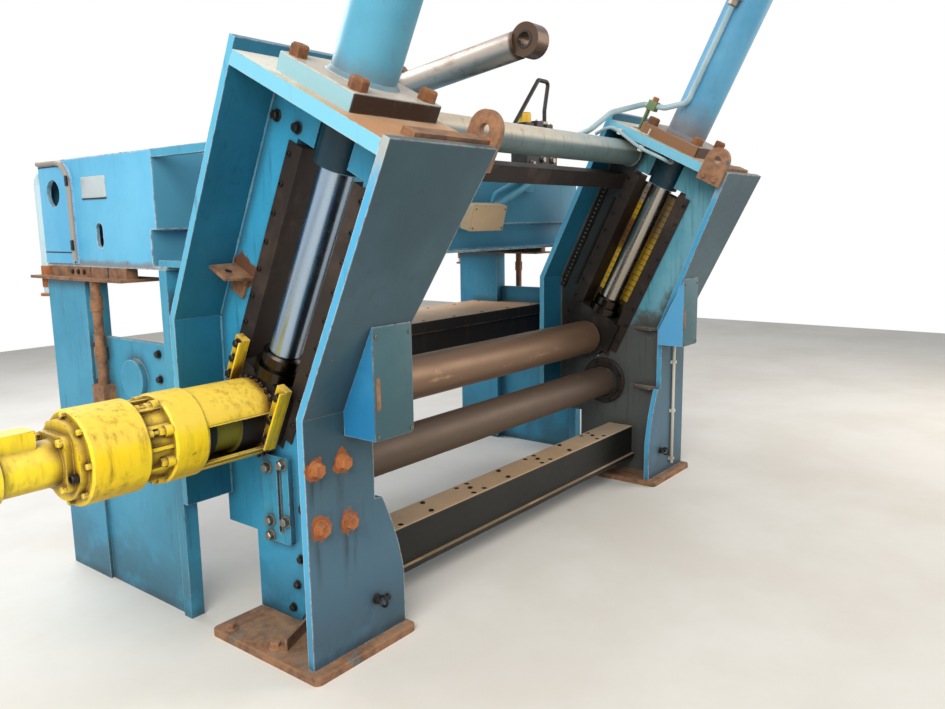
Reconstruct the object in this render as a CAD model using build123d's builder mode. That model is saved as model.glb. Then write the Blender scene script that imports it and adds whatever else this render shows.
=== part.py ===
"""Inclined roller leveler stand: two leaning side frames, a pressing roll that
slides between them with its own drive, a fixed roll under it, and the service
bridge with the feed table behind.  All lengths are millimetres.

X runs from the left web centre to the right one, Y from the front face of the
frames to the rear, Z up from the floor.  Along the lean, u is the distance up
the slide and v the distance across it.
"""
import os
from math import cos, radians, sin

from build123d import *

# Frame layout
frame_pitch = 2520.0
lean_angle = 26.5
plate_thickness = 30.0
web_thickness = 90.0
flange_half_width = 250.0
frame_depth = 790.0
bend_height = 915.0
rear_foot_setback = 231.84
rear_foot_bottom = 480.0
heel_y = 553.0
heel_top = 355.0
top_plate_u = 1725.0
top_plate_thickness = 50.0
front_lip = 12.0
rear_lip = 40.0

# Outline of the front flange seen from the front
foot_half_width = 209.0
foot_curve_low = 239.0
foot_curve_x = 168.0
foot_curve_share = 0.53
foot_neck_x = 104.0
foot_neck_drop = 355.0
neck_half_width = 67.0
neck_step = 5.0
flange_corner_drop = 6.0

# Base plates and the folded sheet that lies on the left one
base_x_min = -277.0
base_x_max = 225.0
base_y_min = -45.0
base_y_max = 563.0
base_corner = 25.0
base_chamfer = 4.0
sheet_thickness = 10.0
sheet_fold_height = 35.0
sheet_corners = ((-215.0, 186.0), (-50.0, 257.0), (-50.0, 534.0), (-270.0, 365.0))
sheet_fold_inner = ((-54.0, 266.2), (-219.0, 195.2))

# Slide of the pressing roll
slide_setback = 413.73
window_width = 350.0
window_below_roll = 41.0
window_head = 165.0
rail_width = 40.0
rail_half_thickness = 50.0
rail_head_gap = 20.0
wear_strip_width = 36.0
wear_strip_low_gap = 45.0
slide_gap = 5.0

# Rolls
upper_u = 521.0
upper_roll_dia = 205.0
upper_journal_dia = 110.0
lower_roll_dia = 180.0
lower_journal_dia = 90.0
lower_ahead = 112.0
lower_below = 267.0
roll_start = 85.0
roll_chamfer = 4.0
running_gap = 0.05

# Chocks
chock_half_length = 76.0
chock_above_roll = 179.0
ear_half_width = 165.0
ear_below_roll = 21.0
ear_above_roll = 169.0
ear_thickness = 20.0
ear_corner = 12.0
end_cover_dia = 210.0
end_cover_thickness = 15.0
journal_end_gap = 6.0

# Lower bearings
bearing_hub_dia = 149.6
bearing_seat_dia = 150.0
bearing_hub_reach = 15.0
keeper_thickness = 25.0
keeper_width = 150.0
keeper_below = 218.0
keeper_above = 124.0
keeper_corner = 15.0
keeper_slot_y = 25.0
keeper_slot_width = 30.0
keeper_slot_depth = 12.0
keeper_slot_margin = 40.0
lower_journal_gap = 7.0

# Press cylinders
rod_dia = 125.0
gland_dia = 170.0
gland_reach = 25.0
gland_clearance = 1.0
gland_slot = 176.0
mount_width = 400.0
mount_depth = 370.0
mount_thickness = 60.0
mount_corner = 12.0
mount_chamfer = 3.0
barrel_dia = 220.0
barrel_bore = 180.0
barrel_length = 865.0
barrel_foot_dia = 250.0
barrel_foot_height = 15.0
cap_dia = 250.0
cap_thickness = 60.0
cap_floor = 10.0
cap_chamfer = 6.0
port_offset = 135.0
port_size = 76.0
port_depth = 60.0
port_height = 80.0
port_v_shift = 16.0
port_from_top = 140.0
piston_dia = 170.0
piston_thickness = 50.0
rod_stroke_start = 100.0
ring_dia = 190.0
ring_height = 45.0
collar_dia = 160.0
collar_height = 55.0
collar_chamfer = 8.0

# Drive on the left chock
guard_dia = 300.0
guard_wall = 9.0
guard_flange_thickness = 20.0
guard_left = -372.0
guard_window_start = 12.0
guard_window_length = 252.0
guard_window_angles = (166.0, 194.0, 222.0)
drive_ring_dia = 315.0
drive_ring_left = -491.0
ring_edge = 7.0
waist_small_dia = 240.0
waist_dia = 262.0
waist_left = -576.0
waist_ribs = 12
rib_height = 22.0
rib_width = 12.0
boss_dia = 42.0
boss_length = 26.0
boss_circle = 268.0
boss_count = 8
gear_case_left = -774.0
gear_cover_dia = 260.0
gear_cover_thickness = 26.0
motor_left = -1050.0
motor_flange = 180.0
motor_flange_thickness = 24.0
motor_dia = 150.0
motor_cap_dia = 175.0
motor_cap_length = 50.0
motor_port = (110.0, 80.0, 45.0)
coupling_dia = 230.0
coupling_sleeve_dia = 200.0
coupling_left = -363.0
coupling_sleeve_left = -308.0
coupling_sleeve_right = -203.0
coupling_right = -103.0
drive_shaft_dia = 90.0
drive_shaft_left = -420.0
arm_width = 50.0
arm_offset = 140.0
arm_thickness = 30.0
front_arm_below = 41.0
front_arm_above = 219.0
rear_arm_start = 79.0
rear_arm_end = 269.0

# Cover boxes and ribs
cover_x_min = -68.0
cover_width = 186.0
cover_y = -150.0
cover_below_bend = 86.0
foot_rib_drops = (10.0, 365.0)
foot_rib_reach = 108.0
foot_rib_depth = 202.0
foot_rib_thickness = 15.0

# Lifting lugs and stop blocks
lug_radius = 65.0
lug_bore = 40.0
lug_thickness = 25.0
lug_setback = 46.73
lug_rise = 48.0
lug_stem = 25.0
stop_setback = 33.73
stop_width = 55.0
stop_height = 25.0
stop_x_min = -115.0

# Cross members
beam_y_min = 194.0
beam_y_max = 356.0
beam_z_min = 110.0
beam_z_max = 300.0
beam_edge = 8.0
beam_toe = 20.0
beam_toe_height = 22.0
beam_hole_dia = 26.0
beam_hole_depth = 40.0
beam_group_pitch = 580.0
beam_groups = 4
beam_hole_pitch_x = 80.0
beam_hole_pitch_y = 106.0
tie_tube_dia = 140.0
tie_tube_wall = 12.0
tie_tube_setback = 119.6
tie_tube_drop = 99.5
tie_bar_setback = 133.0
tie_bar_drop = 261.0
tie_bar_width = 60.0
tie_bar_height = 85.0

# Bridge behind the frames
bridge_gap = 43.0
bridge_depth = 891.0
bridge_z_min = 1401.0
bridge_z_max = 1832.0
bridge_wall = 12.0
band_top = 1539.0
band_depth = 40.0
ledge_reach = 50.0
ledge_thickness = 12.0
door_setback = 606.0
door_thickness = 6.0
door_corner = 110.0
door_trim_dia = 22.0
door_trim_inset = 10.0
door_eye_setback = 773.0
door_eye_z = 1695.0
door_eye_dia = 114.0
slot_setback = 418.0
slot_z = 1518.0
slot_width = 50.0
slot_height = 100.0
side_tube_dia = 60.0
side_tube_x = -222.0
side_tube_setback = 947.0
side_tube_z_min = 1250.0
side_tube_z_max = 1775.0
side_tube_bend = 45.0
shelf_z = 1333.0
shelf_thickness = 12.0
shelf_width = 190.0
shelf_x_min = -290.0
shelf_setback = 216.0
shelf_depth = 771.0
shelf_block_width = 50.0
shelf_blocks = ((242.0, 372.0), (387.0, 516.0), (527.0, 862.0))
rear_post_setback = 585.0
rear_post_depth = 328.0
rear_post_width = 100.0
front_post_width = 60.0
front_post_depth = 50.0
side_plate_x = -235.0
side_plate_thickness = 25.0
side_plate_top = 1100.0
side_boss_setback = 247.0
side_boss_z = 945.0
side_boss_dia = 160.0
jack_x = -262.0
jack_setback = 472.0
jack_steps = ((900.0, 1333.0, 40.0), (1000.0, 1060.0, 50.0), (1210.0, 1270.0, 50.0))
jack_foot = (55.0, 90.0, 80.0)
tie_thickness_high = 30.0
tie_thickness_low = 24.0

# Feed table
table_top = 992.0
table_setback = 240.0
table_depth = 558.0
table_plate = 30.0
table_nose = 65.0
table_nose_depth = 25.0
table_apron = 190.0
table_apron_depth = 40.0
table_rear_depth = 15.0
table_rear_drop = 130.0
table_notch = 120.0

# Guard panel and switch strips of the right window
guard_standoff = 55.0
guard_panel_thickness = 6.0
guard_panel_width = 400.0
guard_bar_width = 20.0
guard_low_gap = 20.0
guard_head_gap = 60.0
strip_thickness = 15.0
wide_strip = (305.0, 33.0, 198.0, 331.0)
narrow_strip = (227.0, 14.0, 257.0, 364.0)

# Cylinder on top of the bridge
ram_drop = 8.3
ram_setback = 150.0
ram_z = 2236.0
ram_rod_dia = 130.0
ram_reach = 814.0
ram_head_dia = 260.0
ram_head_length = 60.0
ram_barrel_dia = 220.0
ram_barrel_bore = 180.0
ram_barrel_length = 950.0
ram_cap_dia = 250.0
ram_cap_length = 40.0
ram_bore_start = 90.0
ram_piston_dia = 170.0
ram_piston_start = 110.0
ram_piston_length = 40.0
ram_trunnion = 200.0
trunnion_dia = 80.0
trunnion_gap = 0.2
trunnion_half_length = 155.0
ram_eye_dia = 150.0
ram_eye_bore = 60.0
ram_eye_width = 90.0
ram_neck = 20.0
stand_width = 360.0
stand_depth = 320.0
stand_base = 18.0
stand_plate_thickness = 30.0
stand_plate_gap = 230.0
stand_foot_half = 140.0
stand_head_half = 80.0

# Valve block on the bridge and the pipe to the right cylinder
valve_inset = 230.0
valve_length = 340.0
valve_setback = 62.0
valve_depth = 120.0
valve_plinth = 18.0
valve_plinth_margin = 25.0
valve_block_top = 2090.0
valve_bodies = ((60.0, 90.0, 60.0), (175.0, 80.0, 78.0), (285.0, 80.0, 66.0))
valve_cap_dia = 76.0
valve_cap_height = 60.0
loop_dia = 26.0
loop_bend = 45.0
loop_rise = 335.0
pipe_dia = 30.0
pipe_bend = 55.0
pipe_run_height = 235.0
pipe_port_inset = 50.0
pipe_port_z = 1985.0
pipe_entry = 100.0
pipe_crossing = ((0.0, 127.0, 162.0), (0.0, 250.0, 138.0), (-175.0, 330.0, 40.0), (-235.0, 379.0, -86.0))
pipe_turn_side = 175.0
pipe_turn_ahead = 240.0

# Junction box on its arm
box_tilt = 16.0
box_width = 300.0
box_height = 140.0
box_depth = 60.0
box_side = 365.0
box_reach = 78.0
box_z = 1585.0
box_edge = 6.0
arm_tube_dia = 42.0
arm_end_inset = 340.0
arm_end_z = 1765.0
arm_pad = 80.0
arm_pad_depth = 30.0

lean_sin = sin(radians(lean_angle))
lean_cos = cos(radians(lean_angle))
front_v = bend_height * lean_sin
front_inner_v = front_v + plate_thickness
rear_v = front_v + frame_depth
rear_inner_v = rear_v - plate_thickness
axis_v = front_v + slide_setback
mid_x = frame_pitch / 2
mirror_plane = Plane.YZ.offset(mid_x)


def guide_yz(v, u):
    """Y and Z of a point given across (v) and along (u) the lean."""
    return (v * lean_cos - u * lean_sin, v * lean_sin + u * lean_cos)


upper_y, upper_z = guide_yz(axis_v, upper_u)
rear_foot_y = upper_y + rear_foot_setback
bridge_y_min = rear_foot_y + bridge_gap
bridge_y_max = bridge_y_min + bridge_depth
ledge_y = bridge_y_min - ledge_reach
door_y_min = bridge_y_min + door_setback
door_eye_y = bridge_y_min + door_eye_setback
slot_y = bridge_y_min + slot_setback
side_tube_y = bridge_y_min + side_tube_setback
shelf_y_min = bridge_y_min + shelf_setback
shelf_y_max = shelf_y_min + shelf_depth
rear_post_y = bridge_y_min + rear_post_setback
side_boss_y = bridge_y_min + side_boss_setback
jack_y = bridge_y_min + jack_setback
table_y_min = bridge_y_min + table_setback
table_y_max = table_y_min + table_depth
ram_y = bridge_y_min + ram_setback
valve_x_min = frame_pitch - valve_inset
valve_y_min = bridge_y_min + valve_setback
valve_y_max = valve_y_min + valve_depth
pipe_x = frame_pitch - port_offset
pipe_port_x = valve_x_min + pipe_port_inset
box_x = mid_x + box_side
box_y = bridge_y_min - box_reach
arm_end_x = frame_pitch - arm_end_inset


def guide_side(x):
    """Plane across X whose local axes are v and u."""
    return Plane(origin=(x, 0, 0), x_dir=(0, lean_cos, lean_sin), z_dir=(1, 0, 0))


def guide_cut(u, v=axis_v, x=0.0):
    """Plane square to the slide, local axes X and v, normal up the lean."""
    y, z = guide_yz(v, u)
    return Plane(origin=(x, y, z), x_dir=(1, 0, 0), z_dir=(0, -lean_sin, lean_cos))


def side_at(x, y=0.0, z=0.0):
    """Plane across X with local axes Y and Z, centred on y and z."""
    return Plane(origin=(x, y, z), x_dir=(0, 1, 0), z_dir=(1, 0, 0))


def along_x(y, z):
    """Plane through a shaft along X, local axes X and radius."""
    return Plane(origin=(0, y, z), x_dir=(1, 0, 0), z_dir=(0, -1, 0))


def ram_cut(s):
    """Plane square to the bridge cylinder, s back from its front face."""
    drop = radians(ram_drop)
    return Plane(
        origin=(mid_x, ram_y + s * cos(drop), ram_z - s * sin(drop)),
        x_dir=(1, 0, 0),
        z_dir=(0, cos(drop), -sin(drop)),
    )


def half_outline(steps):
    """Closed half section of stepped turned work from (start, end, diameter) rows."""
    points = [(steps[0][0], 0.0)]
    for start, end, dia in steps:
        points.append((start, dia / 2))
        points.append((end, dia / 2))
    points.append((steps[-1][1], 0.0))
    return points


lower_y = upper_y - lower_ahead
lower_z = upper_z - lower_below
window_bottom = upper_u - window_below_roll
window_top = top_plate_u - window_head
rail_top = window_top - rail_head_gap
gland_bottom = window_top - gland_reach
chock_top = upper_u + chock_above_roll
ear_bottom = upper_u - ear_below_roll
ear_top = upper_u + ear_above_roll
top_face_u = top_plate_u + top_plate_thickness
mount_top_u = top_face_u + mount_thickness
barrel_top = mount_top_u + barrel_length
rod_top = mount_top_u + rod_stroke_start
rod_bore = rod_dia + 2 * running_gap
flange_lip_u = top_face_u + front_lip
flange_top_z = guide_yz(front_v, flange_lip_u)[1]
front_bend_inner_z = (front_inner_v - plate_thickness * lean_cos) / lean_sin
rear_bend_z = (rear_v - rear_foot_y * lean_cos) / lean_sin
rear_bend_inner_z = (rear_inner_v - (rear_foot_y - plate_thickness) * lean_cos) / lean_sin
foot_neck_z = bend_height - foot_neck_drop
right_roll_end = frame_pitch - roll_start
web_inner = web_thickness / 2
span = frame_pitch - web_thickness
slide_axis = Axis((0, *guide_yz(axis_v, 0)), (0, -lean_sin, lean_cos))
slide_half = Plane(origin=(0, *guide_yz(axis_v, 0)), x_dir=(1, 0, 0), z_dir=(0, -lean_cos, -lean_sin))
upper_axis = Axis((0, upper_y, upper_z), (1, 0, 0))
lower_axis = Axis((0, lower_y, lower_z), (1, 0, 0))
ram_axis = Axis(ram_cut(0).origin, ram_cut(0).z_dir)
ram_half = Plane(origin=ram_cut(0).origin, x_dir=ram_cut(0).z_dir, z_dir=(1, 0, 0))

# Base plates
with BuildPart() as base_plates:
    with BuildSketch(Plane.XY):
        with Locations(((base_x_min + base_x_max) / 2, (base_y_min + base_y_max) / 2)):
            RectangleRounded(base_x_max - base_x_min, base_y_max - base_y_min, base_corner)
    extrude(amount=plate_thickness)
    chamfer(base_plates.faces().sort_by(Axis.Z)[-1].edges(), length=base_chamfer)
    mirror(about=mirror_plane)
    with BuildSketch(Plane.XY.offset(plate_thickness)):
        with BuildLine():
            Polyline(*sheet_corners, close=True)
        make_face()
    extrude(amount=sheet_thickness)
    with BuildSketch(Plane.XY.offset(plate_thickness + sheet_thickness)):
        with BuildLine():
            Polyline(sheet_corners[0], sheet_corners[1], *sheet_fold_inner, close=True)
        make_face()
    extrude(amount=sheet_fold_height)

# Webs with the slide window and the lower bearing seat
with BuildPart() as left_web:
    with BuildSketch(side_at(-web_inner)):
        with BuildLine():
            Polyline(
                (plate_thickness, plate_thickness),
                (heel_y, plate_thickness),
                (heel_y, heel_top),
                (rear_foot_y, heel_top),
                (rear_foot_y, rear_foot_bottom),
                (rear_foot_y - plate_thickness, rear_foot_bottom),
                (rear_foot_y - plate_thickness, rear_bend_inner_z),
                guide_yz(rear_inner_v, top_plate_u),
                guide_yz(front_inner_v, top_plate_u),
                (plate_thickness, front_bend_inner_z),
                close=True,
            )
        make_face()
        with Locations((lower_y, lower_z)):
            Circle(bearing_seat_dia / 2, mode=Mode.SUBTRACT)
    extrude(amount=web_thickness)
    with BuildSketch(guide_side(-web_inner)):
        with Locations((axis_v, (window_bottom + window_top) / 2)):
            Rectangle(window_width, window_top - window_bottom)
        with Locations((axis_v, upper_u)):
            Circle(window_width / 2 - rail_width)
        with Locations((axis_v, (window_top + top_plate_u) / 2)):
            Rectangle(gland_slot, top_plate_u - window_top)
    extrude(amount=web_thickness, mode=Mode.SUBTRACT)
with BuildPart() as right_web:
    mirror(left_web.part, about=mirror_plane)

# Front flange, bent forward along the lean and trimmed to its curved outline
trim_margin = 70.0
curve_z = foot_curve_low + foot_curve_share * (foot_neck_z - foot_curve_low)
with BuildPart() as left_front_flange:
    with BuildSketch(side_at(-flange_half_width)):
        with BuildLine():
            Polyline(
                (0, plate_thickness),
                (plate_thickness, plate_thickness),
                (plate_thickness, front_bend_inner_z),
                guide_yz(front_inner_v, flange_lip_u),
                guide_yz(front_v, flange_lip_u),
                (0, bend_height),
                close=True,
            )
        make_face()
    extrude(amount=2 * flange_half_width)
    with BuildSketch(Plane.XZ.offset(-2 * plate_thickness)):
        with BuildLine():
            Polyline(
                (foot_neck_x, foot_neck_z),
                (neck_half_width, foot_neck_z + neck_step),
                (neck_half_width, bend_height),
                (flange_half_width, flange_top_z - flange_corner_drop),
                (flange_half_width, flange_top_z + trim_margin),
                (-flange_half_width, flange_top_z + trim_margin),
                (-flange_half_width, plate_thickness),
                (foot_half_width, plate_thickness),
                (foot_half_width, foot_curve_low),
            )
            ThreePointArc(
                (foot_half_width, foot_curve_low), (foot_curve_x, curve_z), (foot_neck_x, foot_neck_z)
            )
        make_face()
    extrude(amount=frame_depth, mode=Mode.INTERSECT)
with BuildPart() as right_front_flange:
    mirror(left_front_flange.part, about=mirror_plane)

# Rear flange
with BuildPart() as left_rear_flange:
    with BuildSketch(side_at(-flange_half_width)):
        with BuildLine():
            Polyline(
                (rear_foot_y - plate_thickness, rear_foot_bottom),
                (rear_foot_y, rear_foot_bottom),
                (rear_foot_y, rear_bend_z),
                guide_yz(rear_v, top_face_u + rear_lip),
                guide_yz(rear_inner_v, top_face_u + rear_lip),
                (rear_foot_y - plate_thickness, rear_bend_inner_z),
                close=True,
            )
        make_face()
    extrude(amount=2 * flange_half_width)
with BuildPart() as right_rear_flange:
    mirror(left_rear_flange.part, about=mirror_plane)

# Top plates under the cylinders
top_depth = rear_inner_v - front_inner_v
with BuildPart() as top_plates:
    with BuildSketch(guide_cut(top_plate_u, front_inner_v + top_depth / 2)):
        Rectangle(2 * flange_half_width, top_depth)
    extrude(amount=top_plate_thickness)
    with BuildSketch(guide_cut(top_plate_u)):
        Circle((gland_dia + gland_clearance) / 2)
    extrude(amount=top_plate_thickness, mode=Mode.SUBTRACT)
    mirror(about=mirror_plane)

# Guide rails bolted in the windows, with the wear strips that lap over the webs
with BuildPart() as guide_rails:
    rail_mid_u = (window_bottom + rail_top) / 2
    rail_height = rail_top - window_bottom
    with BuildSketch(guide_side(-rail_half_thickness)):
        for side in (-1, 1):
            with Locations((axis_v + side * (window_width - rail_width) / 2, rail_mid_u)):
                Rectangle(rail_width, rail_height)
    extrude(amount=2 * rail_half_thickness)
    wear_height = rail_height - wear_strip_low_gap
    for strip_x in (-rail_half_thickness, web_inner):
        with BuildSketch(guide_side(strip_x)):
            for side in (-1, 1):
                strip_v = axis_v + side * (window_width + wear_strip_width) / 2
                with Locations((strip_v, rail_top - wear_height / 2)):
                    Rectangle(wear_strip_width, wear_height)
        extrude(amount=rail_half_thickness - web_inner)
    mirror(about=mirror_plane)

# Press cylinders: mounting block, gland, barrel and cap in one body
with BuildPart() as left_cylinder:
    with BuildSketch(guide_cut(top_face_u)):
        RectangleRounded(mount_width, mount_depth, mount_corner)
    extrude(amount=mount_thickness)
    chamfer(left_cylinder.faces().sort_by(slide_axis)[-1].edges(), length=mount_chamfer)
    with BuildSketch(guide_cut(barrel_top - port_from_top, axis_v + port_v_shift)):
        with Locations((port_offset, 0)):
            Rectangle(port_size, port_depth)
    extrude(amount=port_height)
    with BuildSketch(slide_half):
        with BuildLine():
            Polyline(
                (0, gland_bottom),
                (gland_dia / 2, gland_bottom),
                (gland_dia / 2, mount_top_u),
                (barrel_foot_dia / 2, mount_top_u),
                (barrel_dia / 2, mount_top_u + barrel_foot_height),
                (barrel_dia / 2, barrel_top),
                (cap_dia / 2, barrel_top),
                (cap_dia / 2, barrel_top + cap_thickness - cap_chamfer),
                (cap_dia / 2 - cap_chamfer, barrel_top + cap_thickness),
                (0, barrel_top + cap_thickness),
                close=True,
            )
        make_face()
    revolve(axis=slide_axis)
    with BuildSketch(slide_half):
        with BuildLine():
            Polyline(
                (0, gland_bottom),
                (rod_bore / 2, gland_bottom),
                (rod_bore / 2, mount_top_u),
                (barrel_bore / 2, mount_top_u),
                (barrel_bore / 2, barrel_top - cap_floor),
                (0, barrel_top - cap_floor),
                close=True,
            )
        make_face()
    revolve(axis=slide_axis, mode=Mode.SUBTRACT)
with BuildPart() as right_cylinder:
    mirror(left_cylinder.part, about=mirror_plane)

# Lower bearings: a hub in each web with its slotted keeper plate outside
keeper_bottom = lower_z - keeper_below
keeper_top = lower_z + keeper_above
keeper_mid = (keeper_bottom + keeper_top) / 2
with BuildPart() as lower_bearings:
    with BuildSketch(side_at(-web_inner - keeper_thickness, lower_y, keeper_mid)):
        RectangleRounded(keeper_width, keeper_top - keeper_bottom, keeper_corner)
    extrude(amount=keeper_thickness)
    with BuildSketch(side_at(-web_inner - keeper_thickness, lower_y - keeper_slot_y, keeper_mid)):
        Rectangle(keeper_slot_width, keeper_top - keeper_bottom - 2 * keeper_slot_margin)
    extrude(amount=keeper_slot_depth, mode=Mode.SUBTRACT)
    with BuildSketch(side_at(-web_inner, lower_y, lower_z)):
        Circle(bearing_hub_dia / 2)
    extrude(amount=web_thickness + bearing_hub_reach)
    with BuildSketch(side_at(-web_inner, lower_y, lower_z)):
        Circle(lower_journal_dia / 2 + running_gap)
    extrude(amount=web_thickness + bearing_hub_reach, mode=Mode.SUBTRACT)
    mirror(about=mirror_plane)

# Front cover boxes at the bend
cover_bottom = bend_height - cover_below_bend
cover_top = (front_v - cover_y * lean_cos) / lean_sin
with BuildPart() as cover_boxes:
    with BuildSketch(side_at(cover_x_min)):
        with BuildLine():
            Polyline(
                (0, cover_bottom),
                (cover_y, cover_bottom),
                (cover_y, cover_top),
                (0, bend_height),
                close=True,
            )
        make_face()
    extrude(amount=cover_width)
    mirror(about=mirror_plane)

# Ribs between web and front flange
with BuildPart() as foot_ribs:
    for rib_drop in foot_rib_drops:
        with BuildSketch(Plane.XY.offset(bend_height - rib_drop)):
            with BuildLine():
                Polyline(
                    (web_inner, plate_thickness),
                    (neck_half_width - running_gap, plate_thickness),
                    (foot_rib_reach, 2 * plate_thickness),
                    (web_inner, foot_rib_depth),
                    close=True,
                )
            make_face()
        extrude(amount=foot_rib_thickness)
    mirror(about=mirror_plane)

# Lifting lugs and stop blocks on the top plates
lug_v = front_inner_v + lug_setback
lug_u = top_face_u + lug_rise
lug_foot_u = top_plate_u - lug_stem
with BuildPart() as lifting_lugs:
    with BuildSketch(guide_side(flange_half_width)):
        with Locations((lug_v, lug_u)):
            Circle(lug_radius)
        with Locations((lug_v, (lug_foot_u + lug_u) / 2)):
            Rectangle(2 * lug_radius, lug_u - lug_foot_u)
        with Locations((lug_v, lug_u)):
            Circle(lug_bore / 2, mode=Mode.SUBTRACT)
    extrude(amount=lug_thickness)
    mirror(about=mirror_plane)
with BuildPart() as stop_blocks:
    with BuildSketch(guide_side(stop_x_min)):
        with Locations((front_inner_v + stop_setback, top_face_u + stop_height / 2)):
            Rectangle(stop_width, stop_height)
    extrude(amount=flange_half_width - stop_x_min)
    mirror(about=mirror_plane)

# Cross members from web to web
with BuildPart() as cross_beam:
    with BuildSketch(side_at(web_inner)):
        with BuildLine():
            Polyline(
                (beam_y_min - beam_toe, beam_z_min),
                (beam_y_max, beam_z_min),
                (beam_y_max, beam_z_max),
                (beam_y_min, beam_z_max),
                (beam_y_min, beam_z_min + beam_toe_height),
                (beam_y_min - beam_toe, beam_z_min + beam_toe_height),
                close=True,
            )
        make_face()
    extrude(amount=span)
    fillet(cross_beam.edges().filter_by(Axis.X).group_by(Axis.Z)[-1], radius=beam_edge)
    with BuildSketch(Plane.XY.offset(beam_z_max)):
        with Locations((mid_x, (beam_y_min + beam_y_max) / 2)):
            with GridLocations(beam_group_pitch, beam_hole_pitch_y, beam_groups, 2):
                with GridLocations(beam_hole_pitch_x, beam_hole_pitch_y, 2, 1):
                    Circle(beam_hole_dia / 2)
    extrude(amount=-beam_hole_depth, mode=Mode.SUBTRACT)
tie_tube_y, tie_tube_z = guide_yz(rear_v - tie_tube_setback, top_plate_u - tie_tube_drop)
with BuildPart() as tie_tube:
    with BuildSketch(side_at(web_inner, tie_tube_y, tie_tube_z)):
        Circle(tie_tube_dia / 2)
        Circle(tie_tube_dia / 2 - tie_tube_wall, mode=Mode.SUBTRACT)
    extrude(amount=span)
with BuildPart() as rear_tie_bar:
    with BuildSketch(guide_side(web_inner)):
        with Locations((rear_v - tie_bar_setback, top_plate_u - tie_bar_drop)):
            Rectangle(tie_bar_width, tie_bar_height)
    extrude(amount=span)

# Bridge box, open inside, with the recessed band under its front panel
bridge_left = -flange_half_width
bridge_length = frame_pitch + 2 * flange_half_width
band_y = bridge_y_min + band_depth
with BuildPart() as bridge_box:
    with BuildSketch(side_at(bridge_left)):
        with BuildLine():
            Polyline(
                (ledge_y, bridge_z_min - ledge_thickness),
                (bridge_y_max, bridge_z_min - ledge_thickness),
                (bridge_y_max, bridge_z_max),
                (bridge_y_min, bridge_z_max),
                (bridge_y_min, band_top),
                (band_y, band_top),
                (band_y, bridge_z_min),
                (ledge_y, bridge_z_min),
                close=True,
            )
        make_face()
    extrude(amount=bridge_length)
    with BuildSketch(side_at(bridge_left + bridge_wall)):
        with BuildLine():
            Polyline(
                (band_y + bridge_wall, bridge_z_min),
                (bridge_y_max - bridge_wall, bridge_z_min),
                (bridge_y_max - bridge_wall, bridge_z_max - bridge_wall),
                (bridge_y_min + bridge_wall, bridge_z_max - bridge_wall),
                (bridge_y_min + bridge_wall, band_top + bridge_wall),
                (band_y + bridge_wall, band_top + bridge_wall),
                close=True,
            )
        make_face()
    extrude(amount=bridge_length - 2 * bridge_wall, mode=Mode.SUBTRACT)
    with BuildSketch(side_at(bridge_left)):
        with Locations((door_eye_y, door_eye_z)):
            Circle(door_eye_dia / 2)
        with Locations((slot_y, slot_z)):
            SlotOverall(slot_height, slot_width, rotation=90)
    extrude(amount=bridge_length, mode=Mode.SUBTRACT)

# End doors of the bridge with their trim, and the bent tube behind each
trim_r = door_trim_dia / 2
trim_top = bridge_z_max - door_trim_inset
with BuildPart() as bridge_door:
    with BuildSketch(side_at(bridge_left - door_thickness)) as door_outline:
        with Locations(((door_y_min + bridge_y_max) / 2, (bridge_z_min + bridge_z_max) / 2)):
            Rectangle(bridge_y_max - door_y_min, bridge_z_max - bridge_z_min)
        fillet(door_outline.vertices().group_by(Axis.Y)[-1].sort_by(Axis.X)[0], radius=door_corner)
        with Locations((door_eye_y, door_eye_z)):
            Circle(door_eye_dia / 2, mode=Mode.SUBTRACT)
    extrude(amount=door_thickness)
    with BuildLine(side_at(bridge_left - trim_r)) as trim_path:
        FilletPolyline(
            (door_y_min + trim_r, bridge_z_min + trim_r),
            (door_y_min + trim_r, trim_top),
            (bridge_y_max - trim_r, trim_top),
            radius=door_corner,
        )
    with BuildSketch(Plane.XY.offset(bridge_z_min + trim_r)):
        with Locations((bridge_left - trim_r, door_y_min + trim_r)):
            Circle(trim_r)
    sweep(path=trim_path.wires()[0])
    with BuildLine(side_at(side_tube_x)) as side_path:
        FilletPolyline(
            (side_tube_y, shelf_z + shelf_thickness),
            (side_tube_y, side_tube_z_max),
            (bridge_y_max, side_tube_z_max),
            radius=side_tube_bend,
        )
    with BuildSketch(Plane.XY.offset(shelf_z + shelf_thickness)):
        with Locations((side_tube_x, side_tube_y)):
            Circle(side_tube_dia / 2)
    sweep(path=side_path.wires()[0])
    with BuildSketch(Plane.XY.offset(side_tube_z_min)):
        with Locations((side_tube_x, side_tube_y)):
            Circle(side_tube_dia / 2)
    extrude(amount=shelf_z - side_tube_z_min)
    mirror(about=mirror_plane)

# Shelf plates under the bridge with the blocks between
with BuildPart() as bridge_shelves:
    with BuildSketch(Plane.XY.offset(shelf_z)):
        with Locations((shelf_x_min + shelf_width / 2, (shelf_y_min + shelf_y_max) / 2)):
            Rectangle(shelf_width, shelf_y_max - shelf_y_min)
    extrude(amount=shelf_thickness)
    with BuildSketch(Plane.XY.offset(shelf_z + shelf_thickness)):
        for block_start, block_end in shelf_blocks:
            block_y = bridge_y_min + (block_start + block_end) / 2
            with Locations((bridge_left + shelf_block_width / 2, block_y)):
                Rectangle(shelf_block_width, block_end - block_start)
    extrude(amount=bridge_z_min - ledge_thickness - shelf_z - shelf_thickness)
    mirror(about=mirror_plane)


def rear_face_y(z):
    """Y of the leaning rear face of the frames at height z."""
    return (rear_v - z * lean_sin) / lean_cos


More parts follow.
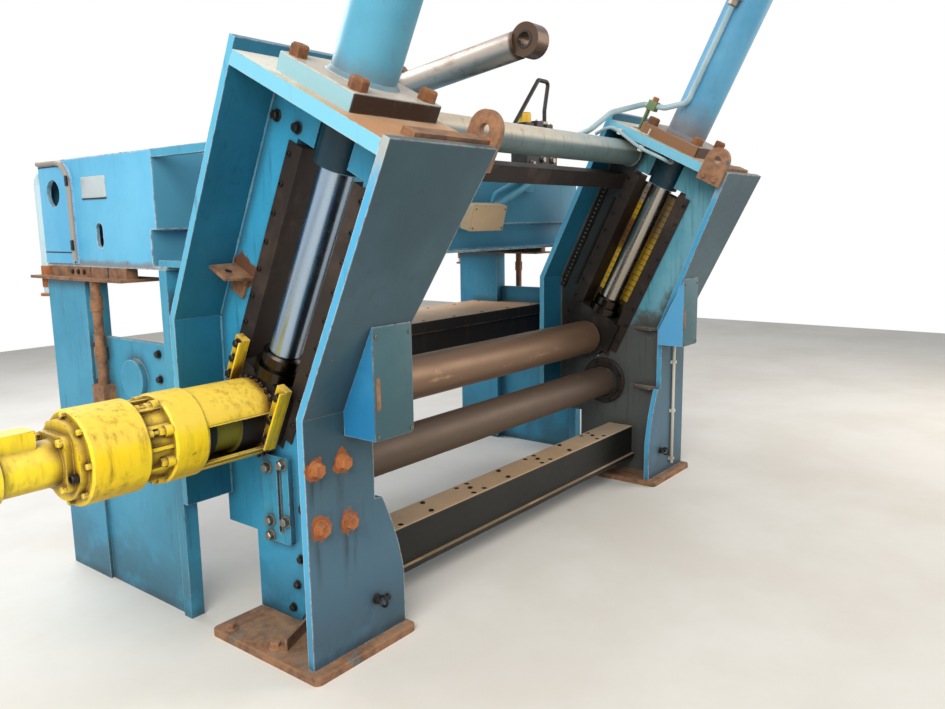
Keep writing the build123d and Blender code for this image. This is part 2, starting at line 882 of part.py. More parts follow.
# Ties from the frames to the bridge
tie_levels = (
    (bridge_z_max - tie_thickness_high, bridge_z_max),
    (bridge_z_min, bridge_z_min + tie_thickness_low),
)
with BuildPart() as bridge_ties:
    for tie_low, tie_high in tie_levels:
        with BuildSketch(side_at(-flange_half_width)):
            with BuildLine():
                Polyline(
                    (rear_face_y(tie_low), tie_low),
                    (bridge_y_min, tie_low),
                    (bridge_y_min, tie_high),
                    (rear_face_y(tie_high), tie_high),
                    close=True,
                )
            make_face()
        extrude(amount=plate_thickness)
    mirror(about=mirror_plane)

# Posts and side plates of the bridge
front_post_y = rear_foot_y + front_post_depth / 2
front_post_rear = rear_foot_y + front_post_depth
with BuildPart() as front_posts:
    with BuildSketch(Plane.XY):
        with Locations((bridge_left + front_post_width / 2, front_post_y)):
            Rectangle(front_post_width, front_post_depth)
    extrude(amount=bridge_z_min - ledge_thickness)
    mirror(about=mirror_plane)
with BuildPart() as rear_posts:
    with BuildSketch(Plane.XY):
        with Locations((bridge_left + rear_post_width / 2, rear_post_y + rear_post_depth / 2)):
            Rectangle(rear_post_width, rear_post_depth)
    extrude(amount=shelf_z)
    mirror(about=mirror_plane)
with BuildPart() as side_plates:
    with BuildSketch(side_at(side_plate_x)):
        with Locations(((front_post_rear + rear_post_y) / 2, side_plate_top / 2)):
            Rectangle(rear_post_y - front_post_rear, side_plate_top)
    extrude(amount=side_plate_thickness)
    with BuildSketch(side_at(side_plate_x - side_plate_thickness, side_boss_y, side_boss_z)):
        Circle(side_boss_dia / 2)
    extrude(amount=side_plate_thickness)
    mirror(about=mirror_plane)

# Jack shafts hanging under the shelves
with BuildPart() as jack_shafts:
    for low, high, dia in jack_steps:
        with BuildSketch(Plane.XY.offset(low)):
            with Locations((jack_x, jack_y)):
                Circle(dia / 2)
        extrude(amount=high - low)
    with BuildSketch(Plane.XY.offset(jack_steps[0][0] - jack_foot[2])):
        with Locations((side_plate_x - jack_foot[0] / 2, jack_y)):
            Rectangle(jack_foot[0], jack_foot[1])
    extrude(amount=jack_foot[2])
    mirror(about=mirror_plane)

# Feed table between the side plates
table_left = side_plate_x + side_plate_thickness
with BuildPart() as feed_table:
    with BuildSketch(side_at(table_left)):
        with BuildLine():
            Polyline(
                (table_y_min, table_top),
                (table_y_min, table_top - table_nose),
                (table_y_min + table_nose_depth, table_top - table_nose),
                (table_y_min + table_nose_depth, table_top - table_apron),
                (table_y_min + table_apron_depth, table_top - table_apron),
                (table_y_min + table_apron_depth, table_top - table_plate),
                (table_y_max - table_rear_depth, table_top - table_plate),
                (table_y_max - table_rear_depth, table_top - table_rear_drop),
                (table_y_max, table_top - table_rear_drop),
                (table_y_max, table_top),
                close=True,
            )
        make_face()
    extrude(amount=frame_pitch - 2 * table_left)
    with BuildSketch(Plane.XY):
        for corner_x in (table_left, frame_pitch - table_left):
            with Locations((corner_x, (rear_post_y + table_y_max) / 2)):
                Rectangle(table_notch, table_y_max - rear_post_y)
    extrude(amount=table_top, mode=Mode.SUBTRACT)

# Guard panel outside the right window
guard_x = frame_pitch + rail_half_thickness
guard_bottom = window_bottom + guard_low_gap
guard_top = window_top - guard_head_gap
guard_mid = (guard_bottom + guard_top) / 2
with BuildPart() as window_guard:
    with BuildSketch(guide_side(guard_x)):
        for side in (-1, 1):
            with Locations((axis_v + side * (guard_panel_width - guard_bar_width) / 2, guard_mid)):
                Rectangle(guard_bar_width, guard_top - guard_bottom)
    extrude(amount=guard_standoff)
    with BuildSketch(guide_side(guard_x + guard_standoff)):
        with Locations((axis_v, guard_mid)):
            Rectangle(guard_panel_width, guard_top - guard_bottom)
    extrude(amount=guard_panel_thickness)

# Switch strips on the inner face of the right web
with BuildPart() as switch_strips:
    with BuildSketch(guide_side(frame_pitch - web_inner - strip_thickness)):
        for strip_offset, strip_width, above_roll, below_plate in (wide_strip, narrow_strip):
            strip_low = upper_u + above_roll
            strip_high = top_plate_u - below_plate
            with Locations((axis_v + strip_offset, (strip_low + strip_high) / 2)):
                Rectangle(strip_width, strip_high - strip_low)
    extrude(amount=strip_thickness)

# Stand, cylinder and rod on the bridge
trunnion = ram_cut(ram_trunnion).origin
stand_top = bridge_z_max + stand_base
with BuildPart() as ram_stand:
    with BuildSketch(Plane.XY.offset(bridge_z_max)):
        with Locations((mid_x, trunnion.Y)):
            RectangleRounded(stand_width, stand_depth, base_corner)
    extrude(amount=stand_base)
    for plate_x in (mid_x - stand_plate_gap / 2 - stand_plate_thickness, mid_x + stand_plate_gap / 2):
        with BuildSketch(side_at(plate_x)):
            with BuildLine():
                Polyline(
                    (trunnion.Y - stand_foot_half, stand_top),
                    (trunnion.Y + stand_foot_half, stand_top),
                    (trunnion.Y + stand_head_half, trunnion.Z),
                    (trunnion.Y - stand_head_half, trunnion.Z),
                    close=True,
                )
            make_face()
            with Locations((trunnion.Y, trunnion.Z)):
                Circle(stand_head_half)
                Circle(trunnion_dia / 2 + trunnion_gap, mode=Mode.SUBTRACT)
        extrude(amount=stand_plate_thickness)
with BuildPart() as ram_cylinder:
    with BuildSketch(ram_half):
        with BuildLine():
            Polyline(
                *half_outline((
                    (0, ram_head_length, ram_head_dia),
                    (ram_head_length, ram_barrel_length, ram_barrel_dia),
                    (ram_barrel_length, ram_barrel_length + ram_cap_length, ram_cap_dia),
                )),
                close=True,
            )
        make_face()
    revolve(axis=ram_axis)
    with BuildSketch(side_at(mid_x - trunnion_half_length, trunnion.Y, trunnion.Z)):
        Circle(trunnion_dia / 2)
    extrude(amount=2 * trunnion_half_length)
    with BuildSketch(ram_half):
        with BuildLine():
            Polyline(
                *half_outline((
                    (0, ram_bore_start, ram_rod_dia + 2 * running_gap),
                    (ram_bore_start, ram_barrel_length - cap_floor, ram_barrel_bore),
                )),
                close=True,
            )
        make_face()
    revolve(axis=ram_axis, mode=Mode.SUBTRACT)
ram_rod_start = ram_eye_dia / 2 - ram_neck - ram_reach
with BuildPart() as ram_rod:
    with BuildSketch(ram_half):
        with BuildLine():
            Polyline(
                *half_outline((
                    (ram_rod_start, ram_piston_start, ram_rod_dia),
                    (ram_piston_start, ram_piston_start + ram_piston_length, ram_piston_dia),
                )),
                close=True,
            )
        make_face()
    revolve(axis=ram_axis)
    eye = ram_cut(-ram_reach).origin
    with BuildSketch(side_at(mid_x - ram_eye_width / 2, eye.Y, eye.Z)):
        Circle(ram_eye_dia / 2)
    extrude(amount=ram_eye_width)
    with BuildSketch(side_at(mid_x - ram_rod_dia / 2, eye.Y, eye.Z)):
        Circle(ram_eye_bore / 2)
    extrude(amount=ram_rod_dia, mode=Mode.SUBTRACT)

# Valve block on the bridge with its bodies, cap and bent pipe
valve_mid_x = valve_x_min + valve_length / 2
valve_mid_y = (valve_y_min + valve_y_max) / 2
with BuildPart() as valve_block:
    with BuildSketch(Plane.XY.offset(bridge_z_max)):
        with Locations((valve_mid_x, valve_mid_y)):
            Rectangle(valve_length + 2 * valve_plinth_margin, valve_depth + 2 * valve_plinth_margin)
    extrude(amount=valve_plinth)
    with BuildSketch(Plane.XY.offset(bridge_z_max + valve_plinth)):
        with Locations((valve_mid_x, valve_mid_y)):
            Rectangle(valve_length, valve_depth)
    extrude(amount=valve_block_top - bridge_z_max - valve_plinth)
    for body_x, body_length, body_height in valve_bodies:
        with BuildSketch(Plane.XY.offset(valve_block_top)):
            with Locations((valve_x_min + body_x, valve_mid_y)):
                RectangleRounded(body_length, valve_depth - 2 * valve_plinth, valve_plinth / 2)
        extrude(amount=body_height)
    cap_x, _, cap_foot = valve_bodies[0]
    with BuildSketch(Plane.XY.offset(valve_block_top + cap_foot)):
        with Locations((valve_x_min + cap_x, valve_mid_y)):
            Circle(valve_cap_dia / 2)
    extrude(amount=valve_cap_height)
    loop_start_z = valve_block_top - loop_bend
    loop_x = valve_x_min - 2 * loop_bend
    loop_high = valve_block_top + loop_rise
    loop_end_inset, _, loop_end_height = valve_bodies[2]
    loop_end_x = valve_x_min + loop_end_inset
    with BuildLine(Plane(origin=(0, valve_mid_y, 0), x_dir=(1, 0, 0), z_dir=(0, -1, 0))) as loop_path:
        FilletPolyline(
            (valve_x_min, loop_start_z),
            (loop_x, loop_start_z + loop_bend),
            (valve_mid_x + loop_bend, loop_high),
            (loop_end_x + loop_bend, loop_high),
            (loop_end_x, valve_block_top + loop_end_height + 2 * loop_bend),
            (loop_end_x, valve_block_top + loop_end_height),
            radius=loop_bend / 2,
        )
    loop_dir = loop_path.wires()[0] % 0
    with BuildSketch(Plane(origin=loop_path.wires()[0] @ 0, z_dir=loop_dir)):
        Circle(loop_dia / 2)
    sweep(path=loop_path.wires()[0])

# Pipe from the valve block up to the port of the right cylinder
port_u = barrel_top - port_from_top
port_v = axis_v + port_v_shift
with BuildPart() as pressure_pipe:
    with BuildLine() as pipe_path:
        FilletPolyline(
            (pipe_x, *guide_yz(port_v, port_u)),
            (pipe_x, *guide_yz(port_v, top_face_u + pipe_run_height)),
            *[(pipe_x + dx, *guide_yz(axis_v + dv, top_face_u + du)) for dx, dv, du in pipe_crossing],
            (pipe_x - pipe_turn_side, valve_y_min - pipe_turn_ahead, pipe_port_z),
            (pipe_port_x, valve_y_min - pipe_entry, pipe_port_z),
            (pipe_port_x, valve_y_min, pipe_port_z),
            radius=pipe_bend,
        )
    with BuildSketch(guide_cut(port_u, port_v, pipe_x)):
        Circle(pipe_dia / 2)
    sweep(path=pipe_path.wires()[0], transition=Transition.ROUND)

# Junction box on its arm in front of the bridge
tilt = radians(box_tilt)
with BuildPart() as junction_box:
    with BuildSketch(Plane(origin=(box_x, box_y, box_z), x_dir=(1, 0, 0), z_dir=(0, -cos(tilt), -sin(tilt)))):
        RectangleRounded(box_width, box_height, box_edge)
    extrude(amount=box_depth)
    with BuildLine() as arm_path:
        Line((box_x, box_y - box_edge, box_z), (arm_end_x, bridge_y_min - arm_tube_dia / 2, arm_end_z))
    with BuildSketch(Plane(origin=arm_path.line @ 0, z_dir=arm_path.line % 0)):
        Circle(arm_tube_dia / 2)
    sweep(path=arm_path.wires()[0])
    with BuildSketch(Plane.XZ.offset(-bridge_y_min)):
        with Locations((arm_end_x, arm_end_z)):
            RectangleRounded(arm_pad, arm_pad, box_edge)
    extrude(amount=arm_pad_depth)

# Press rods with their rings and piston heads
ring_top = chock_top + ring_height
with BuildPart() as press_rods:
    with BuildSketch(slide_half):
        with BuildLine():
            Polyline(
                (0, chock_top),
                (ring_dia / 2, chock_top),
                (ring_dia / 2, ring_top),
                (collar_dia / 2, ring_top),
                (collar_dia / 2, ring_top + collar_height - collar_chamfer),
                (collar_dia / 2 - collar_chamfer, ring_top + collar_height),
                (rod_dia / 2, ring_top + collar_height),
                (rod_dia / 2, rod_top),
                (piston_dia / 2, rod_top),
                (piston_dia / 2, rod_top + piston_thickness),
                (0, rod_top + piston_thickness),
                close=True,
            )
        make_face()
    revolve(axis=slide_axis)
    mirror(about=mirror_plane)

# Chocks riding between the guide rails
chock_half_width = window_width / 2 - rail_width - slide_gap
with BuildPart() as left_chock:
    with BuildSketch(guide_side(-chock_half_length)):
        with Locations((axis_v, upper_u)):
            Circle(chock_half_width)
        with Locations((axis_v, (upper_u + chock_top) / 2)):
            Rectangle(2 * chock_half_width, chock_top - upper_u)
    extrude(amount=2 * chock_half_length)
    for ear_x in (-chock_half_length, chock_half_length - ear_thickness):
        with BuildSketch(guide_side(ear_x)):
            with Locations((axis_v, (ear_bottom + ear_top) / 2)):
                RectangleRounded(2 * ear_half_width, ear_top - ear_bottom, ear_corner)
        extrude(amount=ear_thickness)
    with BuildSketch(side_at(-chock_half_length, upper_y, upper_z)):
        Circle(upper_journal_dia / 2 + running_gap)
    extrude(amount=2 * chock_half_length, mode=Mode.SUBTRACT)
with BuildPart() as right_chock:
    mirror(left_chock.part, about=mirror_plane)
    with BuildSketch(side_at(frame_pitch + chock_half_length, upper_y, upper_z)):
        Circle(end_cover_dia / 2)
    extrude(amount=end_cover_thickness)

# Rolls
upper_steps = (
    (coupling_right, roll_start, upper_journal_dia),
    (roll_start, right_roll_end, upper_roll_dia),
    (right_roll_end, frame_pitch + chock_half_length - journal_end_gap, upper_journal_dia),
)
with BuildPart() as upper_roll:
    with BuildSketch(along_x(upper_y, upper_z)):
        with BuildLine():
            Polyline(*half_outline(upper_steps), close=True)
        make_face()
    revolve(axis=upper_axis)
    chamfer(upper_roll.edges().filter_by(GeomType.CIRCLE).group_by(SortBy.RADIUS)[-1], length=roll_chamfer)
lower_end = web_inner - lower_journal_gap
lower_steps = (
    (-lower_end, roll_start, lower_journal_dia),
    (roll_start, right_roll_end, lower_roll_dia),
    (right_roll_end, frame_pitch + lower_end, lower_journal_dia),
)
with BuildPart() as lower_roll:
    with BuildSketch(along_x(lower_y, lower_z)):
        with BuildLine():
            Polyline(*half_outline(lower_steps), close=True)
        make_face()
    revolve(axis=lower_axis)
    chamfer(lower_roll.edges().filter_by(GeomType.CIRCLE).group_by(SortBy.RADIUS)[-1], length=roll_chamfer)

# Coupling inside the guard, with the shaft that enters the gear case
coupling_steps = (
    (drive_shaft_left, coupling_left, drive_shaft_dia),
    (coupling_left, coupling_sleeve_left, coupling_dia),
    (coupling_sleeve_left, coupling_sleeve_right, coupling_sleeve_dia),
    (coupling_sleeve_right, coupling_right, coupling_dia),
)
with BuildPart() as drive_coupling:
    with BuildSketch(along_x(upper_y, upper_z)):
        with BuildLine():
            Polyline(*half_outline(coupling_steps), close=True)
        make_face()
    revolve(axis=upper_axis)

# Guard tube with its window, flanged to the left chock, and the clamp arms
guard_flange_x = -chock_half_length - guard_flange_thickness
with BuildPart() as drive_guard:
    with BuildSketch(side_at(guard_flange_x, upper_y, upper_z)):
        Circle(guard_dia / 2)
        Circle(upper_journal_dia / 2 + slide_gap, mode=Mode.SUBTRACT)
    extrude(amount=guard_flange_thickness)
    with BuildSketch(side_at(guard_left, upper_y, upper_z)):
        Circle(guard_dia / 2)
        Circle(guard_dia / 2 - guard_wall, mode=Mode.SUBTRACT)
    extrude(amount=guard_flange_x - guard_left)
    with BuildSketch(side_at(guard_left + guard_window_start, upper_y, upper_z)):
        with BuildLine():
            corners = [
                (guard_dia * cos(radians(a)), guard_dia * sin(radians(a))) for a in guard_window_angles
            ]
            Polyline((0, 0), *corners, close=True)
        make_face()
    extrude(amount=guard_window_length, mode=Mode.SUBTRACT)
    with BuildSketch(guide_side(-chock_half_length - arm_thickness)):
        for side, arm_low, arm_high in (
            (-1, upper_u - front_arm_below, upper_u + front_arm_above),
            (1, upper_u + rear_arm_start, upper_u + rear_arm_end),
        ):
            with Locations((axis_v + side * arm_offset, (arm_low + arm_high) / 2)):
                Rectangle(arm_width, arm_high - arm_low)
    extrude(amount=arm_thickness)

# Gear case: thick rings, ribbed waist with bolt bosses, and body
with BuildPart() as drive_gear_case:
    with BuildSketch(along_x(upper_y, upper_z)):
        with BuildLine():
            Polyline(
                (gear_case_left - gear_cover_thickness, 0),
                (gear_case_left - gear_cover_thickness, gear_cover_dia / 2),
                (gear_case_left, gear_cover_dia / 2),
                (gear_case_left, drive_ring_dia / 2 - ring_edge),
                (gear_case_left + ring_edge, drive_ring_dia / 2),
                (waist_left - ring_edge, drive_ring_dia / 2),
                (waist_left, drive_ring_dia / 2 - ring_edge),
                (waist_left, waist_small_dia / 2),
                (drive_ring_left, waist_dia / 2),
                (drive_ring_left, drive_ring_dia / 2 - ring_edge),
                (drive_ring_left + ring_edge, drive_ring_dia / 2),
                (guard_left, drive_ring_dia / 2),
                (guard_left, drive_shaft_dia / 2 + running_gap),
                (drive_shaft_left - slide_gap, drive_shaft_dia / 2 + running_gap),
                (drive_shaft_left - slide_gap, 0),
                close=True,
            )
        make_face()
    revolve(axis=upper_axis)
    with BuildSketch(side_at(waist_left, upper_y, upper_z)):
        with PolarLocations(waist_small_dia / 2, waist_ribs):
            Rectangle(2 * rib_height, rib_width)
    extrude(amount=drive_ring_left - waist_left)
    with BuildSketch(side_at(drive_ring_left - boss_length, upper_y, upper_z)):
        with PolarLocations(boss_circle / 2, boss_count, start_angle=180 / boss_count):
            Circle(boss_dia / 2)
    extrude(amount=boss_length)

# Drive motor
motor_body_right = gear_case_left - gear_cover_thickness - motor_flange_thickness
with BuildPart() as drive_motor:
    with BuildSketch(side_at(motor_body_right, upper_y, upper_z)):
        RectangleRounded(motor_flange, motor_flange, base_corner)
    extrude(amount=motor_flange_thickness)
    with BuildSketch(along_x(upper_y, upper_z)):
        with BuildLine():
            Polyline(
                *half_outline((
                    (motor_left, motor_left + motor_cap_length, motor_cap_dia),
                    (motor_left + motor_cap_length, motor_body_right, motor_dia),
                )),
                close=True,
            )
        make_face()
    revolve(axis=upper_axis)
    port_length, port_width, port_rise = motor_port
    with BuildSketch(Plane.XY.offset(upper_z)):
        with Locations(((motor_left + motor_body_right) / 2, upper_y)):
            Rectangle(port_length, port_width)
    extrude(amount=motor_dia / 2 + port_rise)

nodes = {
    "base_plates": base_plates,
    "left_web": left_web,
    "right_web": right_web,
    "left_front_flange": left_front_flange,
    "right_front_flange": right_front_flange,
    "left_rear_flange": left_rear_flange,
    "right_rear_flange": right_rear_flange,
    "top_plates": top_plates,
    "guide_rails": guide_rails,
    "left_cylinder": left_cylinder,
    "right_cylinder": right_cylinder,
    "lower_bearings": lower_bearings,
    "cover_boxes": cover_boxes,
    "foot_ribs": foot_ribs,
    "lifting_lugs": lifting_lugs,
    "stop_blocks": stop_blocks,
    "cross_beam": cross_beam,
    "tie_tube": tie_tube,
    "rear_tie_bar": rear_tie_bar,
    "bridge_box": bridge_box,
    "bridge_door": bridge_door,
    "bridge_shelves": bridge_shelves,
    "bridge_ties": bridge_ties,
    "front_posts": front_posts,
    "rear_posts": rear_posts,
    "side_plates": side_plates,
    "jack_shafts": jack_shafts,
    "feed_table": feed_table,
    "window_guard": window_guard,
    "switch_strips": switch_strips,
    "ram_stand": ram_stand,
    "ram_cylinder": ram_cylinder,
    "ram_rod": ram_rod,
    "valve_block": valve_block,
    "pressure_pipe": pressure_pipe,
    "junction_box": junction_box,
    "press_rods": press_rods,
    "left_chock": left_chock,
    "right_chock": right_chock,
    "upper_roll": upper_roll,
    "lower_roll": lower_roll,
    "drive_coupling": drive_coupling,
    "drive_guard": drive_guard,
    "drive_gear_case": drive_gear_case,
    "drive_motor": drive_motor,
}

os.makedirs("parts", exist_ok=True)
for label, node in nodes.items():
    node.part.label = label
    export_step(node.part, f"parts/{label}.step")
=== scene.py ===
"""Dresses the roller leveler: finishes, fastenings, weld seams, scales and pipework."""
import logging
import math
import random
from dataclasses import dataclass, field
from enum import Enum
from typing import Sequence

import bmesh
import bpy
from mathutils import Matrix, Vector


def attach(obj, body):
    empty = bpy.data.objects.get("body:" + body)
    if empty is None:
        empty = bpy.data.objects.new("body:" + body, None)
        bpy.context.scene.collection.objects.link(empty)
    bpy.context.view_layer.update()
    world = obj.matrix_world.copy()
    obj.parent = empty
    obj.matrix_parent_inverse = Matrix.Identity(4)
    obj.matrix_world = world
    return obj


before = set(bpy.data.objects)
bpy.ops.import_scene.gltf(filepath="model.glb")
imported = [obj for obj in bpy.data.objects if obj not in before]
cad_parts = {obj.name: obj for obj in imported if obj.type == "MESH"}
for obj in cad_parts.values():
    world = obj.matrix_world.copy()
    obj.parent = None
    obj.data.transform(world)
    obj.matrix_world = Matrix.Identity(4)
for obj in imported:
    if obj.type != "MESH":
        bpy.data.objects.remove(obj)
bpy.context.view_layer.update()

LOG = logging.getLogger("roller_leveler")
Colour = tuple[float, float, float]
Pairs = Sequence[tuple[float, float]]
Socket = bpy.types.NodeSocket
Feed = Socket | float | tuple[float, ...]

SIDE = Vector((1.0, 0.0, 0.0))
AHEAD = Vector((0.0, -1.0, 0.0))
BEHIND = Vector((0.0, 1.0, 0.0))
SKY = Vector((0.0, 0.0, 1.0))
LEAN = math.radians(26.5)
UP_LEAN = Vector((0.0, -math.sin(LEAN), math.cos(LEAN)))
ACROSS_LEAN = Vector((0.0, math.cos(LEAN), math.sin(LEAN)))

PITCH = 2.52
FRONT_V = 0.915 * math.sin(LEAN)
SLIDE_V = 0.822
ROLL_U = 0.521
MOUNT_TOP = 1.835
FRONT_BOLTS = (Vector((-0.204, 0.0, 0.741)), Vector((-0.082, 0.0, 0.739)), Vector((-0.192, 0.0, 0.530)),
               Vector((-0.064, 0.0, 0.517)))
# Directions of the faces that carry the painted highlight of the tie tube (over dust) and of the drive.
TUBE_HIGHLIGHT_OVER_DUST = Vector((0.0, -0.50, 0.866))
DRIVE_HIGHLIGHT = Vector((0.0, -0.35, 0.94))
RAM_AHEAD = Vector((0.0, -0.9895, 0.1444))
CREASE = 0.6
RIPPLE = 0.012


def guide(x: float, v: float, u: float) -> Vector:
    """Point of the leaning frames.

    Args:
        x: Place along the machine.
        v: Distance across the lean.
        u: Distance up the lean.

    Returns:
        The point in metres.
    """
    return Vector((x, 0.0, 0.0)) + v * ACROSS_LEAN + u * UP_LEAN


def seat(at: Vector, out: Vector, along: Vector = SIDE) -> Matrix:
    """Frame of a surface that a piece sits on.

    Args:
        at: Where the piece sits.
        out: Direction away from the surface.
        along: Direction of the local X axis, as far as the surface allows.

    Returns:
        Matrix with local Z pointing out of the surface.
    """
    z = out.normalized()
    x = along - along.dot(z) * z
    if x.length < 1e-4:
        x = BEHIND - z.y * z
    x.normalize()
    turn = Matrix((x, z.cross(x), z)).transposed().to_4x4()
    turn.translation = at
    return turn


class Body(Enum):
    """CAD bodies that pieces hang on."""

    FRAME = "frame"
    PRESS = "press"
    RAM = "ram"


class Slot(Enum):
    """Material slots of the record."""

    BLUE = "blue_paint"
    TEAL = "teal_paint"
    RUST = "rust_steel"
    DARK = "dark_steel"
    CHROME = "chrome"
    YELLOW = "yellow_paint"
    PALE = "light_blue_paint"
    TABLE = "table_paint"
    GREY = "grey_box"


def feed(value: Feed, socket: Socket) -> None:
    """Feed a socket with a link, or set it where the value is plain.

    Args:
        value: Node output or plain value.
        socket: Socket to feed.
    """
    if isinstance(value, bpy.types.NodeSocket):
        socket.id_data.links.new(value, socket)
    else:
        socket.default_value = value


def add_node(
    tree: bpy.types.NodeTree, kind: str, inputs: dict[str | int, Feed], **settings: str | int | bool
) -> bpy.types.Node:
    """Add a node, set it and feed its inputs.

    Args:
        tree: Node tree that takes it.
        kind: Type of the shader node.
        inputs: Node output or plain value for each input.
        settings: Properties of the node.

    Returns:
        The new node.
    """
    node = tree.nodes.new(f"ShaderNode{kind}")
    for key, value in settings.items():
        setattr(node, key, value)
    for key, value in inputs.items():
        feed(value, node.inputs[key])
    return node


class Shade:
    """Lays out the nodes of one finish."""

    def __init__(self, name: str) -> None:
        """Start an empty finish.

        Args:
            name: Name of the material.
        """
        self.material = bpy.data.materials.new(name)
        self.material.use_nodes = True
        self.tree = self.material.node_tree
        self.tree.nodes.clear()
        self.skin = self.node("BsdfPrincipled", {})
        self.node("OutputMaterial", {"Surface": self.skin.outputs["BSDF"]})
        self.place = self.node("TexCoord", {}).outputs["Object"]
        self.normal = self.node("NewGeometry", {}).outputs["Normal"]

    def node(self, kind: str, inputs: dict[str | int, Feed], **settings: str | int | bool) -> bpy.types.Node:
        """Node of this finish, as add_node makes it."""
        return add_node(self.tree, kind, inputs, **settings)

    def stretched(self, stretch: Sequence[float], shift: float) -> Socket:
        """Object coordinates scaled along each axis.

        Args:
            stretch: Scale along X, Y and Z.
            shift: Offset that gives another pattern.

        Returns:
            Vector output.
        """
        inputs = {"Scale": tuple(stretch), "Location": (shift, shift * 1.7, -shift), "Vector": self.place}
        return self.node("Mapping", inputs).outputs["Vector"]

    def noise(
        self,
        scale: float,
        detail: float = 4.0,
        rough: float = 0.55,
        stretch: Sequence[float] = (1.0, 1.0, 1.0),
        shift: float = 0.0,
    ) -> Socket:
        """Cloudy pattern.

        Args:
            scale: Patches per metre.
            detail: Number of finer layers.
            rough: Strength of the finer layers.
            stretch: Scale along each axis.
            shift: Offset that gives another pattern.

        Returns:
            Value from 0 to 1.
        """
        inputs = {"Scale": scale, "Detail": detail, "Roughness": rough, "Vector": self.stretched(stretch, shift)}
        return self.node("TexNoise", inputs).outputs["Fac"]

    def flakes(self, scale: float, shift: float) -> Socket:
        """Distance to scattered points, for chips and pits.

        Args:
            scale: Points per metre.
            shift: Offset that gives another pattern.

        Returns:
            Distance value.
        """
        inputs = {"Scale": scale, "Vector": self.stretched((1.0, 1.0, 1.0), shift)}
        return self.node("TexVoronoi", inputs).outputs["Distance"]

    def between(self, value: Socket, low: float, high: float) -> Socket:
        """Smooth step of a value.

        Args:
            value: Value to read.
            low: Where the step gives 0.
            high: Where the step gives 1, which may be below low.

        Returns:
            Value from 0 to 1.
        """
        flip = high < low
        inputs = {"Value": value, "From Min": min(low, high), "From Max": max(low, high),
                  "To Min": float(flip), "To Max": float(not flip)}
        return self.node("MapRange", inputs, interpolation_type="SMOOTHSTEP").outputs["Result"]

    def calc(self, kind: str, first: Feed, second: Feed, clamp: bool = True) -> Socket:
        """Arithmetic of two values.

        Args:
            kind: Operation name, such as ADD.
            first: First value.
            second: Second value.
            clamp: Keep the result between 0 and 1.

        Returns:
            Result of the operation.
        """
        return self.node("Math", {0: first, 1: second}, operation=kind, use_clamp=clamp).outputs[0]

    def times(self, first: Feed, second: Feed, clamp: bool = True) -> Socket:
        """Product of two values, for a mask inside a mask.

        Args:
            first: First value.
            second: Second value.
            clamp: Keep the result between 0 and 1.

        Returns:
            The product.
        """
        return self.calc("MULTIPLY", first, second, clamp)

    def mix(self, mask: Socket, under: Socket | Colour, over: Socket | Colour) -> Socket:
        """Colour laid over another through a mask.

        Args:
            mask: Where the upper colour shows.
            under: Lower colour.
            over: Upper colour.

        Returns:
            Colour output.
        """
        under, over = (c if isinstance(c, bpy.types.NodeSocket) else (*c, 1.0) for c in (under, over))
        return self.node("Mix", {0: mask, 6: under, 7: over}, data_type="RGBA").outputs[2]

    def along(self, value: Socket, way: Socket | Vector) -> Socket:
        """Component of a vector along a direction.

        Args:
            value: Vector to read.
            way: Direction to measure along.

        Returns:
            Value output.
        """
        way = tuple(way) if isinstance(way, Vector) else way
        return self.node("VectorMath", {0: value, 1: way}, operation="DOT_PRODUCT").outputs["Value"]

    def edges(self, radius: float) -> Socket:
        """Mask of corners and edges, where paint wears first.

        Args:
            radius: Width of the worn band.

        Returns:
            Value near 1 on an edge.
        """
        soft = self.node("Bevel", {"Radius": radius}, samples=4).outputs["Normal"]
        return self.between(self.along(soft, self.normal), 0.995, 0.86)

    def corner_shade_mask(self, reach: float) -> Socket:
        """Mask of inner corners from ambient occlusion, for painted shade with grime.

        Args:
            reach: How far the darkening reaches from a corner.

        Returns:
            Value near 1 in a corner.
        """
        return self.between(self.node("AmbientOcclusion", {"Distance": reach}, samples=4).outputs["AO"], 0.95, 0.62)

    def wander(self, noise: Socket, reach: float) -> Socket:
        """Pattern that shifts the edge of a mask both ways.

        Args:
            noise: Cloudy pattern.
            reach: Width of the band it moves in.

        Returns:
            Value that is added to a distance.
        """
        return self.times(self.calc("SUBTRACT", noise, 0.5, False), reach, False)

    def patch(self, spec: "Patch") -> Socket:
        """Mask of one patch.

        Args:
            spec: Which part of the surface it takes.

        Returns:
            Value from 0 to 1.
        """
        masks = []
        if spec.facing is not None:
            turned = self.along(self.normal, spec.facing)
            if spec.both_ways:
                turned = self.calc("ABSOLUTE", turned, 0.0, False)
            masks.append(self.between(turned, 0.45, 0.75))
        if spec.way is not None:
            reach = self.along(self.place, spec.way)
            if spec.ragged > 0.0:
                cloud = self.noise(5.0, 7.0, 0.65, shift=23.0)
                reach = self.calc("ADD", reach, self.wander(cloud, spec.ragged), False)
            masks.append(self.between(reach, spec.start, spec.end))
        mask = self.times(*masks) if len(masks) > 1 else masks[0]
        return self.times(mask, spec.share)

    def halo(self, centres: Sequence[Vector], reach: float) -> Socket:
        """Mask around fastenings that bleed rust.

        Args:
            centres: Middle of each fastening.
            reach: Radius of the stain.

        Returns:
            Value near 1 at a fastening.
        """
        total: Feed = 0.0
        wander = self.wander(self.noise(17.0, 5.0, 0.65, shift=41.0), reach * 1.6)
        for centre in centres:
            inputs = {0: self.place, 1: tuple(centre)}
            distance = self.node("VectorMath", inputs, operation="DISTANCE").outputs["Value"]
            near = self.between(self.calc("ADD", distance, wander, False), reach, reach * 0.45)
            total = self.calc("MAXIMUM", near, total)
        return total

